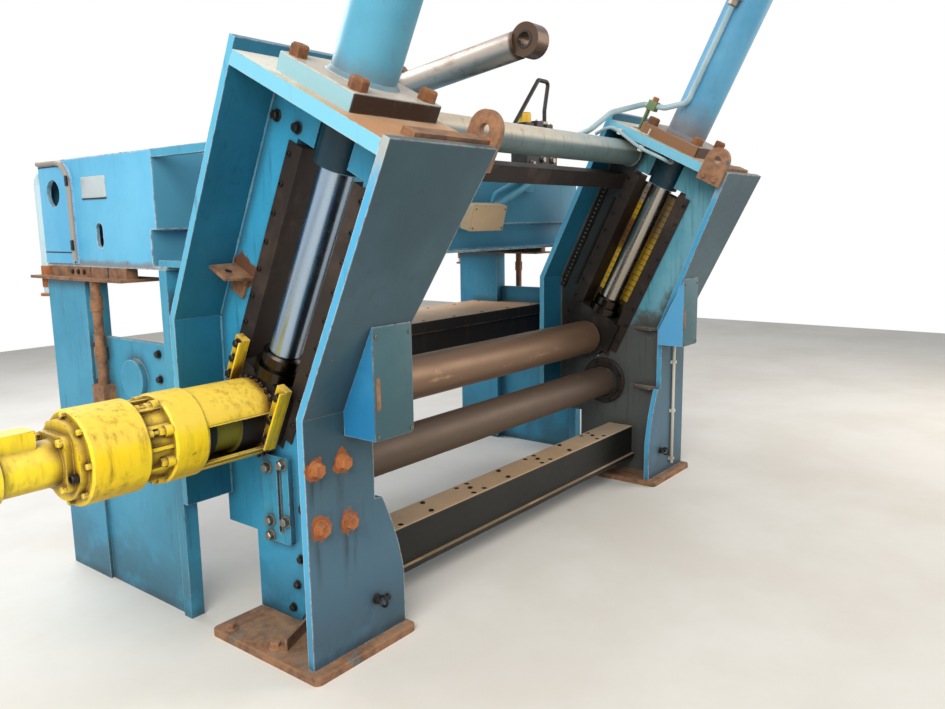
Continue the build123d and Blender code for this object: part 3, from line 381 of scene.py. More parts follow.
    def drips(self, centres: Sequence[Vector], reach: float, length: float) -> Socket:
        """Mask of the trails that run down from fastenings on a front face.

        Args:
            centres: Middle of each fastening.
            reach: Half width of a trail.
            length: Length of a trail.

        Returns:
            Value near 1 in a trail.
        """
        total: Feed = 0.0
        wander = self.times(self.noise(7.0, 4.0, 0.6, shift=31.0), 0.03, False)
        for centre in centres:
            aside = self.calc("SUBTRACT", self.along(self.place, SIDE), centre.x - 0.015, False)
            aside = self.calc("ADD", self.calc("ABSOLUTE", aside, 0.0), wander, False)
            drop = self.calc("SUBTRACT", centre.z, self.along(self.place, SKY), False)
            trail = self.times(self.between(aside, reach, 0.008), self.between(drop, 0.0, 0.03))
            trail = self.times(trail, self.between(drop, length, length * 0.2))
            total = self.calc("MAXIMUM", trail, total)
        return total

    def relief(self, height: Socket, depth: float, strength: float) -> None:
        """Give the surface a fine relief.

        Args:
            height: Pattern of the relief.
            depth: Height of the relief in metres.
            strength: How much of it shows.
        """
        bump = self.node("Bump", {"Strength": strength, "Distance": depth, "Height": height})
        feed(bump.outputs["Normal"], self.skin.inputs["Normal"])

    def settle(self, colour: Socket, rough: Feed, metal: Feed = 0.0) -> bpy.types.Material:
        """Connect the shader and hand over the material.

        Args:
            colour: Base colour.
            rough: Roughness.
            metal: Metallic value.

        Returns:
            Finished material.
        """
        for name, value in (("Base Color", colour), ("Roughness", rough), ("Metallic", metal)):
            feed(value, self.skin.inputs[name])
        return self.material


@dataclass(frozen=True)
class Patch:
    """Another coat on the faces that point one way, on a stretch of the piece, or on both; some patches are painted
    light or shade.
    """

    coat: Colour
    facing: Vector | None = None
    both_ways: bool = False
    way: Vector | None = None
    start: float = 0.0
    end: float = 0.0
    ragged: float = 0.0
    share: float = 1.0


@dataclass(frozen=True)
class MachinePaint:
    """Brushed machine paint over plate, with stains, chips, worn edges, and painted shade with grime in inner corners.
    """

    name: str
    coat: Colour
    faded: Colour
    grime: Colour
    bare: Colour
    worn: Colour
    stain: float = 0.5
    chips: float = 0.5
    edge_width: float = 0.006
    edge_loss: float = 0.5
    gloss: float = 0.42
    dust: float = 0.6
    patches: tuple[Patch, ...] = ()
    # Share of the painted shade with grime in inner corners, from ambient occlusion.
    nook: float = 0.0
    halos: tuple[Vector, ...] = ()
    halo_reach: float = 0.055
    drip_length: float = 0.0
    dust_coat: Colour = (0.42, 0.35, 0.27)

    def dirty(self, s: Shade, colour: Socket, clouds: Socket) -> Socket:
        """Lay runs, floor dirt, painted shade with grime in inner corners, and rust trails over the paint.

        Args:
            s: Finish that is laid out.
            colour: Colour so far.
            clouds: Pattern of the dirty places.

        Returns:
            Colour with the dirt on it.
        """
        runs = s.noise(9.0, 5.0, 0.65, (4.0, 4.0, 0.35), 7.0)
        dirt = s.times(s.between(runs, 0.64 - 0.22 * self.stain, 0.82), s.between(clouds, 0.36, 0.62))
        floor_dirt = s.times(s.between(s.along(s.place, SKY), 0.42, 0.02), s.between(clouds, 0.3, 0.55))
        dirt = s.calc("MAXIMUM", dirt, s.times(floor_dirt, 0.8))
        colour = s.mix(s.times(dirt, 0.35 + 0.5 * self.stain), colour, self.grime)
        # Painted shade with grime in inner corners, where ambient occlusion finds them.
        if self.nook > 0.0:
            corner_shade_and_grime = s.times(s.corner_shade_mask(0.05), s.between(clouds, 0.15, 0.5))
            colour = s.mix(s.times(corner_shade_and_grime, self.nook), colour, self.grime)
        if self.drip_length > 0.0:
            trails = s.times(s.drips(self.halos, 0.040, self.drip_length), s.between(runs, 0.35, 0.6))
            colour = s.mix(s.times(trails, 0.85), colour, self.grime)
        return colour

    def build(self) -> bpy.types.Material:
        """Write the node material.

        Returns:
            The finished material.
        """
        s = Shade(self.name)
        s.skin.inputs["Specular IOR Level"].default_value = 0.3
        colour = s.mix(s.between(s.noise(1.7, 5.0, 0.6), 0.38, 0.66), self.coat, self.faded)
        for spec in self.patches:
            colour = s.mix(s.patch(spec), colour, spec.coat)
        fine = s.noise(34.0, 6.0, 0.7, shift=3.0)
        clouds = s.noise(5.0, 6.0, 0.62, shift=11.0)
        colour = self.dirty(s, colour, clouds)
        edge = s.edges(self.edge_width)
        rubbed = s.times(edge, s.between(clouds, 0.50 - 0.3 * self.edge_loss, 0.62))
        colour = s.mix(rubbed, colour, self.worn)
        eaten = s.times(edge, s.between(fine, 0.6 - 0.16 * self.edge_loss, 0.66))
        spots = s.between(s.noise(21.0, 5.0, 0.72, shift=19.0), 0.735 - 0.07 * self.chips, 0.765 - 0.07 * self.chips)
        bare = s.calc("MAXIMUM", eaten, spots)
        if self.halos:
            rings = s.times(s.halo(self.halos, self.halo_reach), s.between(fine, 0.2, 0.5))
            bare = s.calc("MAXIMUM", bare, s.between(rings, 0.2, 0.7))
        colour = s.mix(bare, colour, self.bare)
        level = s.times(s.between(s.along(s.normal, SKY), 0.72, 0.96), s.between(clouds, 0.3, 0.6))
        colour = s.mix(s.times(level, self.dust), colour, self.dust_coat)
        rough = s.calc("ADD", s.times(fine, 0.22), self.gloss - 0.08)
        s.relief(s.calc("SUBTRACT", s.noise(90.0, 3.0, 0.5), s.times(bare, 0.7)), 0.0007, 0.55)
        return s.settle(colour, s.calc("ADD", rough, s.times(bare, 0.3)))


@dataclass(frozen=True)
class Rust:
    """Plate whose paint has gone to rust."""

    name: str
    deep: Colour
    bright: Colour
    paint: Colour
    left_over: float
    dust_coat: Colour = (0.36, 0.27, 0.18)

    def build(self) -> bpy.types.Material:
        """Write the node material.

        Returns:
            The finished material.
        """
        s = Shade(self.name)
        scale = s.noise(16.0, 7.0, 0.7)
        colour = s.mix(s.between(scale, 0.34, 0.66), self.deep, self.bright)
        colour = s.mix(s.times(s.edges(0.007), s.between(scale, 0.3, 0.6)), colour, self.bright)
        kept = s.between(s.noise(4.0, 6.0, 0.66, shift=5.0), 0.66 - 0.3 * self.left_over, 0.7 - 0.3 * self.left_over)
        colour = s.mix(kept, colour, self.paint)
        dusty = s.times(s.between(s.along(s.normal, SKY), 0.7, 0.96), s.between(s.noise(9.0, 5.0), 0.35, 0.7))
        colour = s.mix(s.times(dusty, 0.35), colour, self.dust_coat)
        s.relief(scale, 0.0016, 0.6)
        return s.settle(colour, s.calc("ADD", s.times(scale, 0.25), 0.6))


@dataclass(frozen=True)
class WorkedSteel:
    """Machined steel with oil, stains and bands of wear; on chrome, painted reflections take the place of the stains.
    """

    name: str
    clean: Colour
    # Second colour: stains, and on chrome a painted reflection.
    stain_and_reflection: Colour
    bands: tuple[float, float, float]
    shine: float
    metal: float
    stain_share: float = 0.5
    patches: tuple[Patch, ...] = ()
    pit_coat: Colour = (0.05, 0.035, 0.025)

    def build(self) -> bpy.types.Material:
        """Write the node material.

        Returns:
            The finished material.
        """
        s = Shade(self.name)
        bands = s.noise(6.0, 6.0, 0.68, self.bands)
        clouds = s.noise(7.0, 6.0, 0.65, shift=9.0)
        mask = s.between(s.calc("ADD", s.times(bands, 0.6), s.times(clouds, 0.4)),
                         0.62 - 0.25 * self.stain_share, 0.74 - 0.2 * self.stain_share)
        colour = s.mix(mask, self.stain_and_reflection, self.clean)
        pits = s.between(s.flakes(60.0, 2.0), 0.12, 0.05)
        colour = s.mix(s.times(pits, 0.35), colour, self.pit_coat)
        for spec in self.patches:
            colour = s.mix(s.patch(spec), colour, spec.coat)
        s.relief(bands, 0.0004, 0.4)
        return s.settle(colour, s.calc("ADD", s.times(clouds, 0.3), self.shine), self.metal)


def block_coat(coat: Colour, facing: Vector | None = None, top: float = 0.004, full: float = -0.002) -> Patch:
    """Coat of the block that carries a press cylinder.

    Args:
        coat: Colour of the coat.
        facing: Direction of the faces that carry it, or None for all of them.
        top: Where it begins, above the block's upper face.
        full: Where it covers, above the block's upper face.

    Returns:
        The patch.
    """
    return Patch(coat, facing, way=UP_LEAN, start=MOUNT_TOP + top, end=MOUNT_TOP + full)


BLOCK_FOOT = Patch((0.007, 0.032, 0.050), way=UP_LEAN, start=1.735, end=1.725)


class Finish(Enum):
    """Finishes of the machine."""

    WEB = MachinePaint(
        "web_blue", (0.030, 0.255, 0.44), (0.045, 0.32, 0.53), (0.020, 0.036, 0.042), (0.11, 0.048, 0.026),
        (0.26, 0.47, 0.56), stain=0.62, chips=0.6, dust=0.45, nook=0.7,
        halos=(guide(-0.045, 1.115, 1.02), guide(-0.045, 1.06, 1.00)), halo_reach=0.062)
    INNER_WEB = MachinePaint(
        "inner_web_blue", (0.020, 0.20, 0.33), (0.035, 0.26, 0.41), (0.035, 0.035, 0.030), (0.13, 0.06, 0.035),
        (0.30, 0.44, 0.48), stain=0.8, chips=0.6, dust=0.45, nook=0.5, patches=(Patch((0.10, 0.33, 0.42), -SIDE),
        Patch((0.20, 0.46, 0.56), -SIDE, way=ACROSS_LEAN, start=0.62, end=0.50, ragged=0.3, share=0.75),
        Patch((0.075, 0.062, 0.050), -SIDE, way=SKY, start=1.16, end=0.92, ragged=0.9, share=0.92),
        # painted shade: near-black band at the rear of the web's inner face
        Patch((0.016, 0.013, 0.011), -SIDE, way=ACROSS_LEAN, start=0.95, end=1.00, ragged=0.05, share=0.95)))
    INNER_SEAM = MachinePaint(
        "inner_seam_grey", (0.075, 0.066, 0.055), (0.11, 0.10, 0.085), (0.035, 0.030, 0.026), (0.10, 0.055, 0.035),
        (0.20, 0.19, 0.17), stain=0.7, chips=0.5, dust=0.3)
    RIB = MachinePaint(
        "rib_grey", (0.095, 0.082, 0.068), (0.15, 0.13, 0.11), (0.030, 0.026, 0.022), (0.16, 0.080, 0.045),
        (0.34, 0.26, 0.19), stain=0.7, chips=0.6, edge_loss=0.9, dust=0.8)
    BEARING = MachinePaint(
        "bearing_blue", (0.022, 0.225, 0.375), (0.040, 0.30, 0.46), (0.030, 0.032, 0.032), (0.13, 0.06, 0.035),
        (0.40, 0.42, 0.40), stain=0.8, chips=0.6, edge_loss=0.9, nook=0.9,
        patches=(Patch((0.034, 0.028, 0.024), way=SIDE, start=0.02, end=0.03),
        Patch((0.022, 0.225, 0.375), way=SIDE, start=PITCH + 0.040, end=PITCH + 0.046)))
    # The front flanges carry a grey, darker copy of the blue paint on their front faces as painted shade.
    FRONT = MachinePaint(
        "front_blue", (0.034, 0.076, 0.098), (0.053, 0.108, 0.136), (0.026, 0.036, 0.041), (0.33, 0.105, 0.035),
        (0.50, 0.60, 0.60), stain=0.5, chips=0.38, edge_width=0.008, edge_loss=1.0, gloss=0.40, dust=0.3,
        # painted light: lighter blue on the side faces
        patches=(Patch((0.075, 0.37, 0.62), SIDE, True),
        Patch((0.46, 0.42, 0.34), SIDE, True, SKY, 1.62, 1.78, 0.25, 0.8), Patch((0.040, 0.24, 0.38), BEHIND),
        # painted floor bounce light: lighter, bluer towards the bottom of the front faces
        Patch((0.080, 0.175, 0.260), AHEAD, way=SKY, start=0.95, end=0.15, share=0.8)), halos=FRONT_BOLTS,
        drip_length=0.26, nook=0.6)
    # The rear flanges carry a darker copy of the blue paint as painted shade, and a lighter blue on their side faces as
    # painted light.
    REAR = MachinePaint(
        "rear_flange_blue", (0.012, 0.125, 0.215), (0.020, 0.165, 0.275), (0.018, 0.03, 0.035), (0.15, 0.06, 0.03),
        (0.50, 0.58, 0.58), stain=0.6, chips=0.6, edge_loss=1.0, dust=0.3,
        patches=(Patch((0.10, 0.42, 0.62), SIDE, True),))
    BRIDGE = MachinePaint(
        "bridge_blue", (0.095, 0.41, 0.66), (0.14, 0.49, 0.74), (0.06, 0.09, 0.10), (0.22, 0.09, 0.05),
        (0.62, 0.70, 0.70), stain=0.5, chips=0.5, edge_width=0.012, edge_loss=0.9, dust=0.5,
        # painted shade: darker teal on the faces that point ahead
        patches=(Patch((0.080, 0.29, 0.42), AHEAD),
        Patch((0.20, 0.15, 0.115), -SIDE, way=SKY, start=1.425, end=1.402, ragged=0.07, share=0.75)))
    DOOR = MachinePaint(
        "door_blue", (0.085, 0.39, 0.66), (0.125, 0.46, 0.72), (0.08, 0.11, 0.12), (0.26, 0.12, 0.07),
        (0.60, 0.66, 0.66), stain=0.5, chips=0.5, edge_loss=0.8, dust=0.3,
        patches=(Patch((0.33, 0.28, 0.23), way=-SIDE, start=0.2572, end=0.2580),
        Patch((0.33, 0.28, 0.23), way=SIDE, start=PITCH + 0.2572, end=PITCH + 0.2580),
        Patch((0.50, 0.66, 0.72), way=BEHIND, start=1.680, end=1.690)))
    POST = MachinePaint(
        "post_blue", (0.040, 0.26, 0.42), (0.062, 0.32, 0.49), (0.04, 0.06, 0.065), (0.22, 0.10, 0.06),
        (0.44, 0.56, 0.58), stain=0.75, chips=0.62, edge_loss=0.8, dust=0.4, nook=0.7)
    COVER = MachinePaint(
        "cover_blue", (0.018, 0.18, 0.38), (0.036, 0.24, 0.45), (0.02, 0.05, 0.08), (0.20, 0.10, 0.05),
        (0.45, 0.56, 0.60), stain=0.25, chips=0.2, edge_loss=0.6, dust=0.2,
        # painted light: lighter blue on the right cover box
        patches=(Patch((0.11, 0.40, 0.70), way=SIDE, start=1.2, end=1.3),))
    BARREL = MachinePaint(
        "barrel_blue", (0.068, 0.285, 0.42), (0.10, 0.345, 0.49), (0.17, 0.10, 0.060), (0.26, 0.10, 0.045),
        (0.34, 0.46, 0.52), stain=0.45, chips=0.5, gloss=0.36, dust=0.2,
        patches=(Patch((0.17, 0.12, 0.085), way=UP_LEAN, start=1.92, end=1.83, ragged=0.16, share=0.6),
        block_coat((0.28, 0.49, 0.55)), block_coat((0.60, 0.46, 0.33), UP_LEAN),
        block_coat((0.040, 0.022, 0.015), -ACROSS_LEAN, 0.001, -0.003), BLOCK_FOOT))
    FAR_BARREL = MachinePaint(
        "far_barrel_blue", (0.085, 0.31, 0.50), (0.13, 0.39, 0.60), (0.19, 0.11, 0.065), (0.26, 0.10, 0.045),
        (0.34, 0.46, 0.52), stain=0.6, chips=0.6, gloss=0.36, dust=0.2,
        patches=(Patch((0.24, 0.15, 0.095), way=UP_LEAN, start=2.05, end=1.84, ragged=0.3, share=0.7),
        block_coat((0.26, 0.135, 0.070)), block_coat((0.060, 0.034, 0.022), -ACROSS_LEAN, 0.001, -0.003), BLOCK_FOOT))
    PIPE = MachinePaint(
        "pipe_blue", (0.26, 0.42, 0.48), (0.44, 0.56, 0.59), (0.14, 0.13, 0.11), (0.24, 0.12, 0.07),
        (0.60, 0.64, 0.62), stain=0.5, chips=0.4, gloss=0.33)
    TUBE = MachinePaint(
        "tube_blue", (0.115, 0.165, 0.165), (0.16, 0.22, 0.22), (0.10, 0.075, 0.055), (0.24, 0.12, 0.07),
        (0.50, 0.50, 0.44), stain=0.8, chips=0.5, gloss=0.36, dust=0.0,
        # painted highlight over dust: pale tan and pale blue on the tube's upper faces
        patches=(Patch((0.66, 0.57, 0.44), TUBE_HIGHLIGHT_OVER_DUST),
        Patch((0.34, 0.48, 0.52), TUBE_HIGHLIGHT_OVER_DUST, way=SIDE, start=1.2, end=2.2, ragged=1.6, share=0.8)))
    YELLOW = MachinePaint(
        "drive_yellow", (1.0, 0.67, 0.010), (1.0, 0.78, 0.035), (0.12, 0.055, 0.012), (0.13, 0.060, 0.018),
        (0.78, 0.60, 0.22), stain=0.9, chips=0.75, edge_width=0.006, edge_loss=0.45, dust=0.0, nook=1.0,
        # painted highlight: pale yellow on the upper faces; painted shade: dark ochre on the faces that point down
        patches=(Patch((1.0, 0.68, 0.16), DRIVE_HIGHLIGHT, share=0.5), Patch((0.50, 0.30, 0.008), -SKY, share=0.7),
        Patch((0.50, 0.25, 0.035), way=SIDE, start=-0.17, end=-0.05, ragged=0.35, share=0.6)))
    COUPLING = MachinePaint(
        "coupling_black", (0.020, 0.017, 0.014), (0.035, 0.028, 0.022), (0.010, 0.009, 0.008), (0.07, 0.05, 0.03),
        (0.16, 0.13, 0.09), stain=0.6, chips=0.5, dust=0.0,
        patches=(Patch((0.23, 0.19, 0.018), way=SIDE, start=-0.309, end=-0.3075),
        Patch((0.020, 0.017, 0.014), way=SIDE, start=-0.2035, end=-0.202)))
    LID = MachinePaint(
        "lid_grey", (0.042, 0.105, 0.125), (0.060, 0.138, 0.160), (0.035, 0.045, 0.048), (0.15, 0.065, 0.03),
        (0.28, 0.33, 0.32), stain=0.45, chips=0.30, edge_loss=0.8)
    # The table's tan top is made lighter as painted light, standing in for the light that the bridge's shade takes from
    # it.
    TABLE = MachinePaint(
        "table_tan", (0.86, 0.45, 0.24), (0.94, 0.56, 0.33), (0.15, 0.09, 0.055), (0.18, 0.09, 0.05),
        (0.50, 0.40, 0.30), stain=0.5, chips=0.55, gloss=0.5, dust=0.0,
        patches=(Patch((0.026, 0.020, 0.018), AHEAD, True), Patch((0.050, 0.040, 0.034), SIDE, True),
        Patch((0.030, 0.028, 0.026), -SKY)))
    BEAM = MachinePaint(
        "beam_black", (0.010, 0.010, 0.008), (0.018, 0.017, 0.014), (0.008, 0.008, 0.007), (0.09, 0.055, 0.03),
        (0.22, 0.18, 0.13), stain=0.6, chips=0.45, dust=0.0, patches=(Patch((0.58, 0.385, 0.22), SKY),
        Patch((0.70, 0.54, 0.38), SKY, way=SIDE, start=1.5, end=2.4, ragged=1.2, share=0.8)))
    TOP = MachinePaint(
        "top_plate", (0.50, 0.37, 0.24), (0.62, 0.52, 0.39), (0.22, 0.13, 0.07), (0.34, 0.13, 0.05),
        (0.60, 0.52, 0.40), stain=0.5, chips=0.7, gloss=0.55, dust=0.0,
        patches=(Patch((0.19, 0.52, 0.68), SIDE, True),
        Patch((0.46, 0.22, 0.10), UP_LEAN, way=ACROSS_LEAN, start=0.80, end=0.52, ragged=0.5, share=0.85),
        Patch((0.80, 0.78, 0.70), UP_LEAN, way=ACROSS_LEAN, start=0.85, end=1.05, ragged=0.6, share=0.85)))
    BOX = MachinePaint(
        "box_beige", (0.60, 0.43, 0.26), (0.70, 0.53, 0.35), (0.16, 0.11, 0.07), (0.22, 0.12, 0.07),
        (0.56, 0.46, 0.34), stain=0.35, chips=0.3, dust=0.0,
        patches=(Patch((0.10, 0.36, 0.50), way=SIDE, start=1.785, end=1.80),))
    PLATE = MachinePaint(
        "name_plate", (0.40, 0.48, 0.52), (0.50, 0.56, 0.58), (0.16, 0.16, 0.15), (0.30, 0.30, 0.28),
        (0.60, 0.62, 0.58), stain=0.5, chips=0.3, gloss=0.3, dust=0.0)
    GREEN = MachinePaint(
        "clamp_green", (0.10, 0.17, 0.075), (0.17, 0.24, 0.11), (0.05, 0.05, 0.03), (0.20, 0.12, 0.06),
        (0.40, 0.42, 0.28), stain=0.5, chips=0.6)
    CAP = MachinePaint(
        "cap_yellow", (0.75, 0.42, 0.02), (0.85, 0.52, 0.04), (0.16, 0.09, 0.02), (0.18, 0.10, 0.04),
        (0.80, 0.60, 0.20), stain=0.3, chips=0.3)
    RED = MachinePaint(
        "tab_red", (0.62, 0.045, 0.030), (0.72, 0.08, 0.05), (0.12, 0.03, 0.02), (0.20, 0.12, 0.10),
        (0.75, 0.55, 0.45), stain=0.3, chips=0.3)
    WHITE = MachinePaint(
        "tab_white", (0.62, 0.57, 0.46), (0.72, 0.67, 0.56), (0.20, 0.16, 0.11), (0.24, 0.13, 0.07),
        (0.75, 0.72, 0.64), stain=0.5, chips=0.5)
    PANEL = MachinePaint(
        "guard_olive", (0.058, 0.046, 0.026), (0.085, 0.066, 0.036), (0.020, 0.016, 0.011), (0.10, 0.06, 0.03),
        (0.18, 0.14, 0.08), stain=0.6, chips=0.4, dust=0.0)
    REAR_SCALE = MachinePaint(
        "rear_scale_yellow", (0.72, 0.42, 0.020), (0.80, 0.52, 0.05), (0.20, 0.09, 0.02), (0.16, 0.07, 0.02),
        (0.75, 0.60, 0.25), stain=0.5, chips=0.5, dust=0.0,
        patches=(Patch((0.42, 0.33, 0.27), way=UP_LEAN, start=1.355, end=1.395, ragged=0.03),
        Patch((0.20, 0.085, 0.025), way=UP_LEAN, start=1.03, end=1.10, ragged=0.06),
        Patch((0.72, 0.42, 0.020), way=UP_LEAN, start=1.25, end=1.30, ragged=0.06, share=0.9),
        Patch((0.42, 0.33, 0.27), way=UP_LEAN, start=1.375, end=1.395, ragged=0.03)))
    FRONT_SCALE = MachinePaint(
        "front_scale_yellow", (0.68, 0.40, 0.025), (0.78, 0.50, 0.05), (0.20, 0.09, 0.02), (0.16, 0.07, 0.02),
        (0.70, 0.55, 0.25), stain=0.6, chips=0.6, dust=0.0,
        patches=(Patch((0.36, 0.26, 0.11), way=UP_LEAN, start=1.10, end=1.32, ragged=0.12),))
    RUST = Rust("rusty_plate", (0.12, 0.060, 0.036), (0.31, 0.155, 0.075), (0.10, 0.16, 0.18), 0.12)
    LUG = Rust("lug_rust", (0.18, 0.088, 0.047), (0.36, 0.18, 0.092), (0.10, 0.11, 0.11), 0.12)
    BOLT = Rust("bolt_rust", (0.10, 0.038, 0.015), (0.27, 0.105, 0.034), (0.06, 0.035, 0.02), 0.15)
    ORANGE = Rust("orange_rust", (0.20, 0.058, 0.018), (0.42, 0.145, 0.040), (0.12, 0.045, 0.02), 0.1)
    DARK = WorkedSteel("dark_steel", (0.058, 0.038, 0.029), (0.024, 0.016, 0.013), (1.0, 0.4, 0.4), 0.42, 0.35)
    # The two rolls are one steel: the upper roll's lighter tan is painted highlight, and the lower roll's darker copy
    # is painted shade.
    ROLL = WorkedSteel("roll_steel", (0.50, 0.30, 0.175), (0.24, 0.145, 0.090), (0.30, 2.2, 2.2), 0.34, 0.55, 0.25)
    LOW_ROLL = WorkedSteel(
        "lower_roll_steel", (0.22, 0.145, 0.095), (0.12, 0.080, 0.056), (0.30, 2.2, 2.2), 0.40, 0.40, 0.25)
    # painted reflection: the bluish second colour of the rods, and the golden tint of the right rod from the yellow
    # scales beside it
    CHROME = WorkedSteel(
        "rod_chrome", (0.46, 0.38, 0.27), (0.33, 0.43, 0.55), (3.0, 1.0, 0.2), 0.10, 1.0, 0.25,
        (Patch((0.40, 0.30, 0.17), way=SIDE, start=1.2, end=1.3, share=0.7),
        Patch((0.045, 0.036, 0.030), way=UP_LEAN, start=0.8035, end=0.8015)))
    RAM = WorkedSteel(
        "ram_steel", (0.23, 0.155, 0.105), (0.46, 0.40, 0.345), (3.0, 0.5, 1.0), 0.22, 0.85, 0.5,
        (Patch((0.11, 0.070, 0.050), way=RAM_AHEAD, start=0.13, end=0.15, ragged=0.03),))
    BLACK = WorkedSteel("greasy_black", (0.035, 0.030, 0.026), (0.012, 0.010, 0.009), (1.0, 1.0, 1.0), 0.32, 0.4)
    BRIGHT = WorkedSteel("bright_steel", (0.52, 0.50, 0.46), (0.26, 0.22, 0.18), (1.0, 1.0, 1.0), 0.28, 1.0, 0.3)


class Paintbox:
    """Keeps one material for each finish."""

    def __init__(self) -> None:
        """Start with no material built."""
        self.jars: dict[Finish, bpy.types.Material] = {}

    def material(self, finish: Finish) -> bpy.types.Material:
        """Material of a finish, built at its first use.

        Args:
            finish: Finish to apply.

        Returns:
            Material shared by all that carry the finish.
        """
        if finish not in self.jars:
            self.jars[finish] = finish.value.build()
        return self.jars[finish]


PAINTS = Paintbox()

NODE_FINISH: dict[str, Finish] = {
    "base_plates": Finish.RUST, "left_web": Finish.WEB, "right_web": Finish.INNER_WEB,
    "left_front_flange": Finish.FRONT, "right_front_flange": Finish.FRONT,
    "left_rear_flange": Finish.REAR, "right_rear_flange": Finish.REAR, "top_plates": Finish.TOP,
    "guide_rails": Finish.DARK, "left_cylinder": Finish.BARREL, "right_cylinder": Finish.FAR_BARREL,
    "lower_bearings": Finish.BEARING, "cover_boxes": Finish.COVER, "foot_ribs": Finish.RIB,
    "lifting_lugs": Finish.LUG, "stop_blocks": Finish.RUST, "cross_beam": Finish.BEAM,
    "tie_tube": Finish.TUBE, "rear_tie_bar": Finish.DARK, "bridge_box": Finish.BRIDGE,
    "bridge_door": Finish.DOOR, "bridge_shelves": Finish.RUST, "bridge_ties": Finish.POST,
    "front_posts": Finish.POST, "rear_posts": Finish.POST, "side_plates": Finish.POST,
    "jack_shafts": Finish.RUST, "feed_table": Finish.TABLE, "window_guard": Finish.PANEL,
    "switch_strips": Finish.BLACK, "ram_stand": Finish.POST, "ram_cylinder": Finish.POST,
    "ram_rod": Finish.RAM, "valve_block": Finish.BLACK, "pressure_pipe": Finish.PIPE,
    "junction_box": Finish.BOX, "press_rods": Finish.CHROME, "left_chock": Finish.BLACK,
    "right_chock": Finish.BLACK, "upper_roll": Finish.ROLL, "lower_roll": Finish.LOW_ROLL,
    "drive_coupling": Finish.COUPLING, "drive_guard": Finish.YELLOW, "drive_gear_case": Finish.YELLOW,
    "drive_motor": Finish.YELLOW,
}


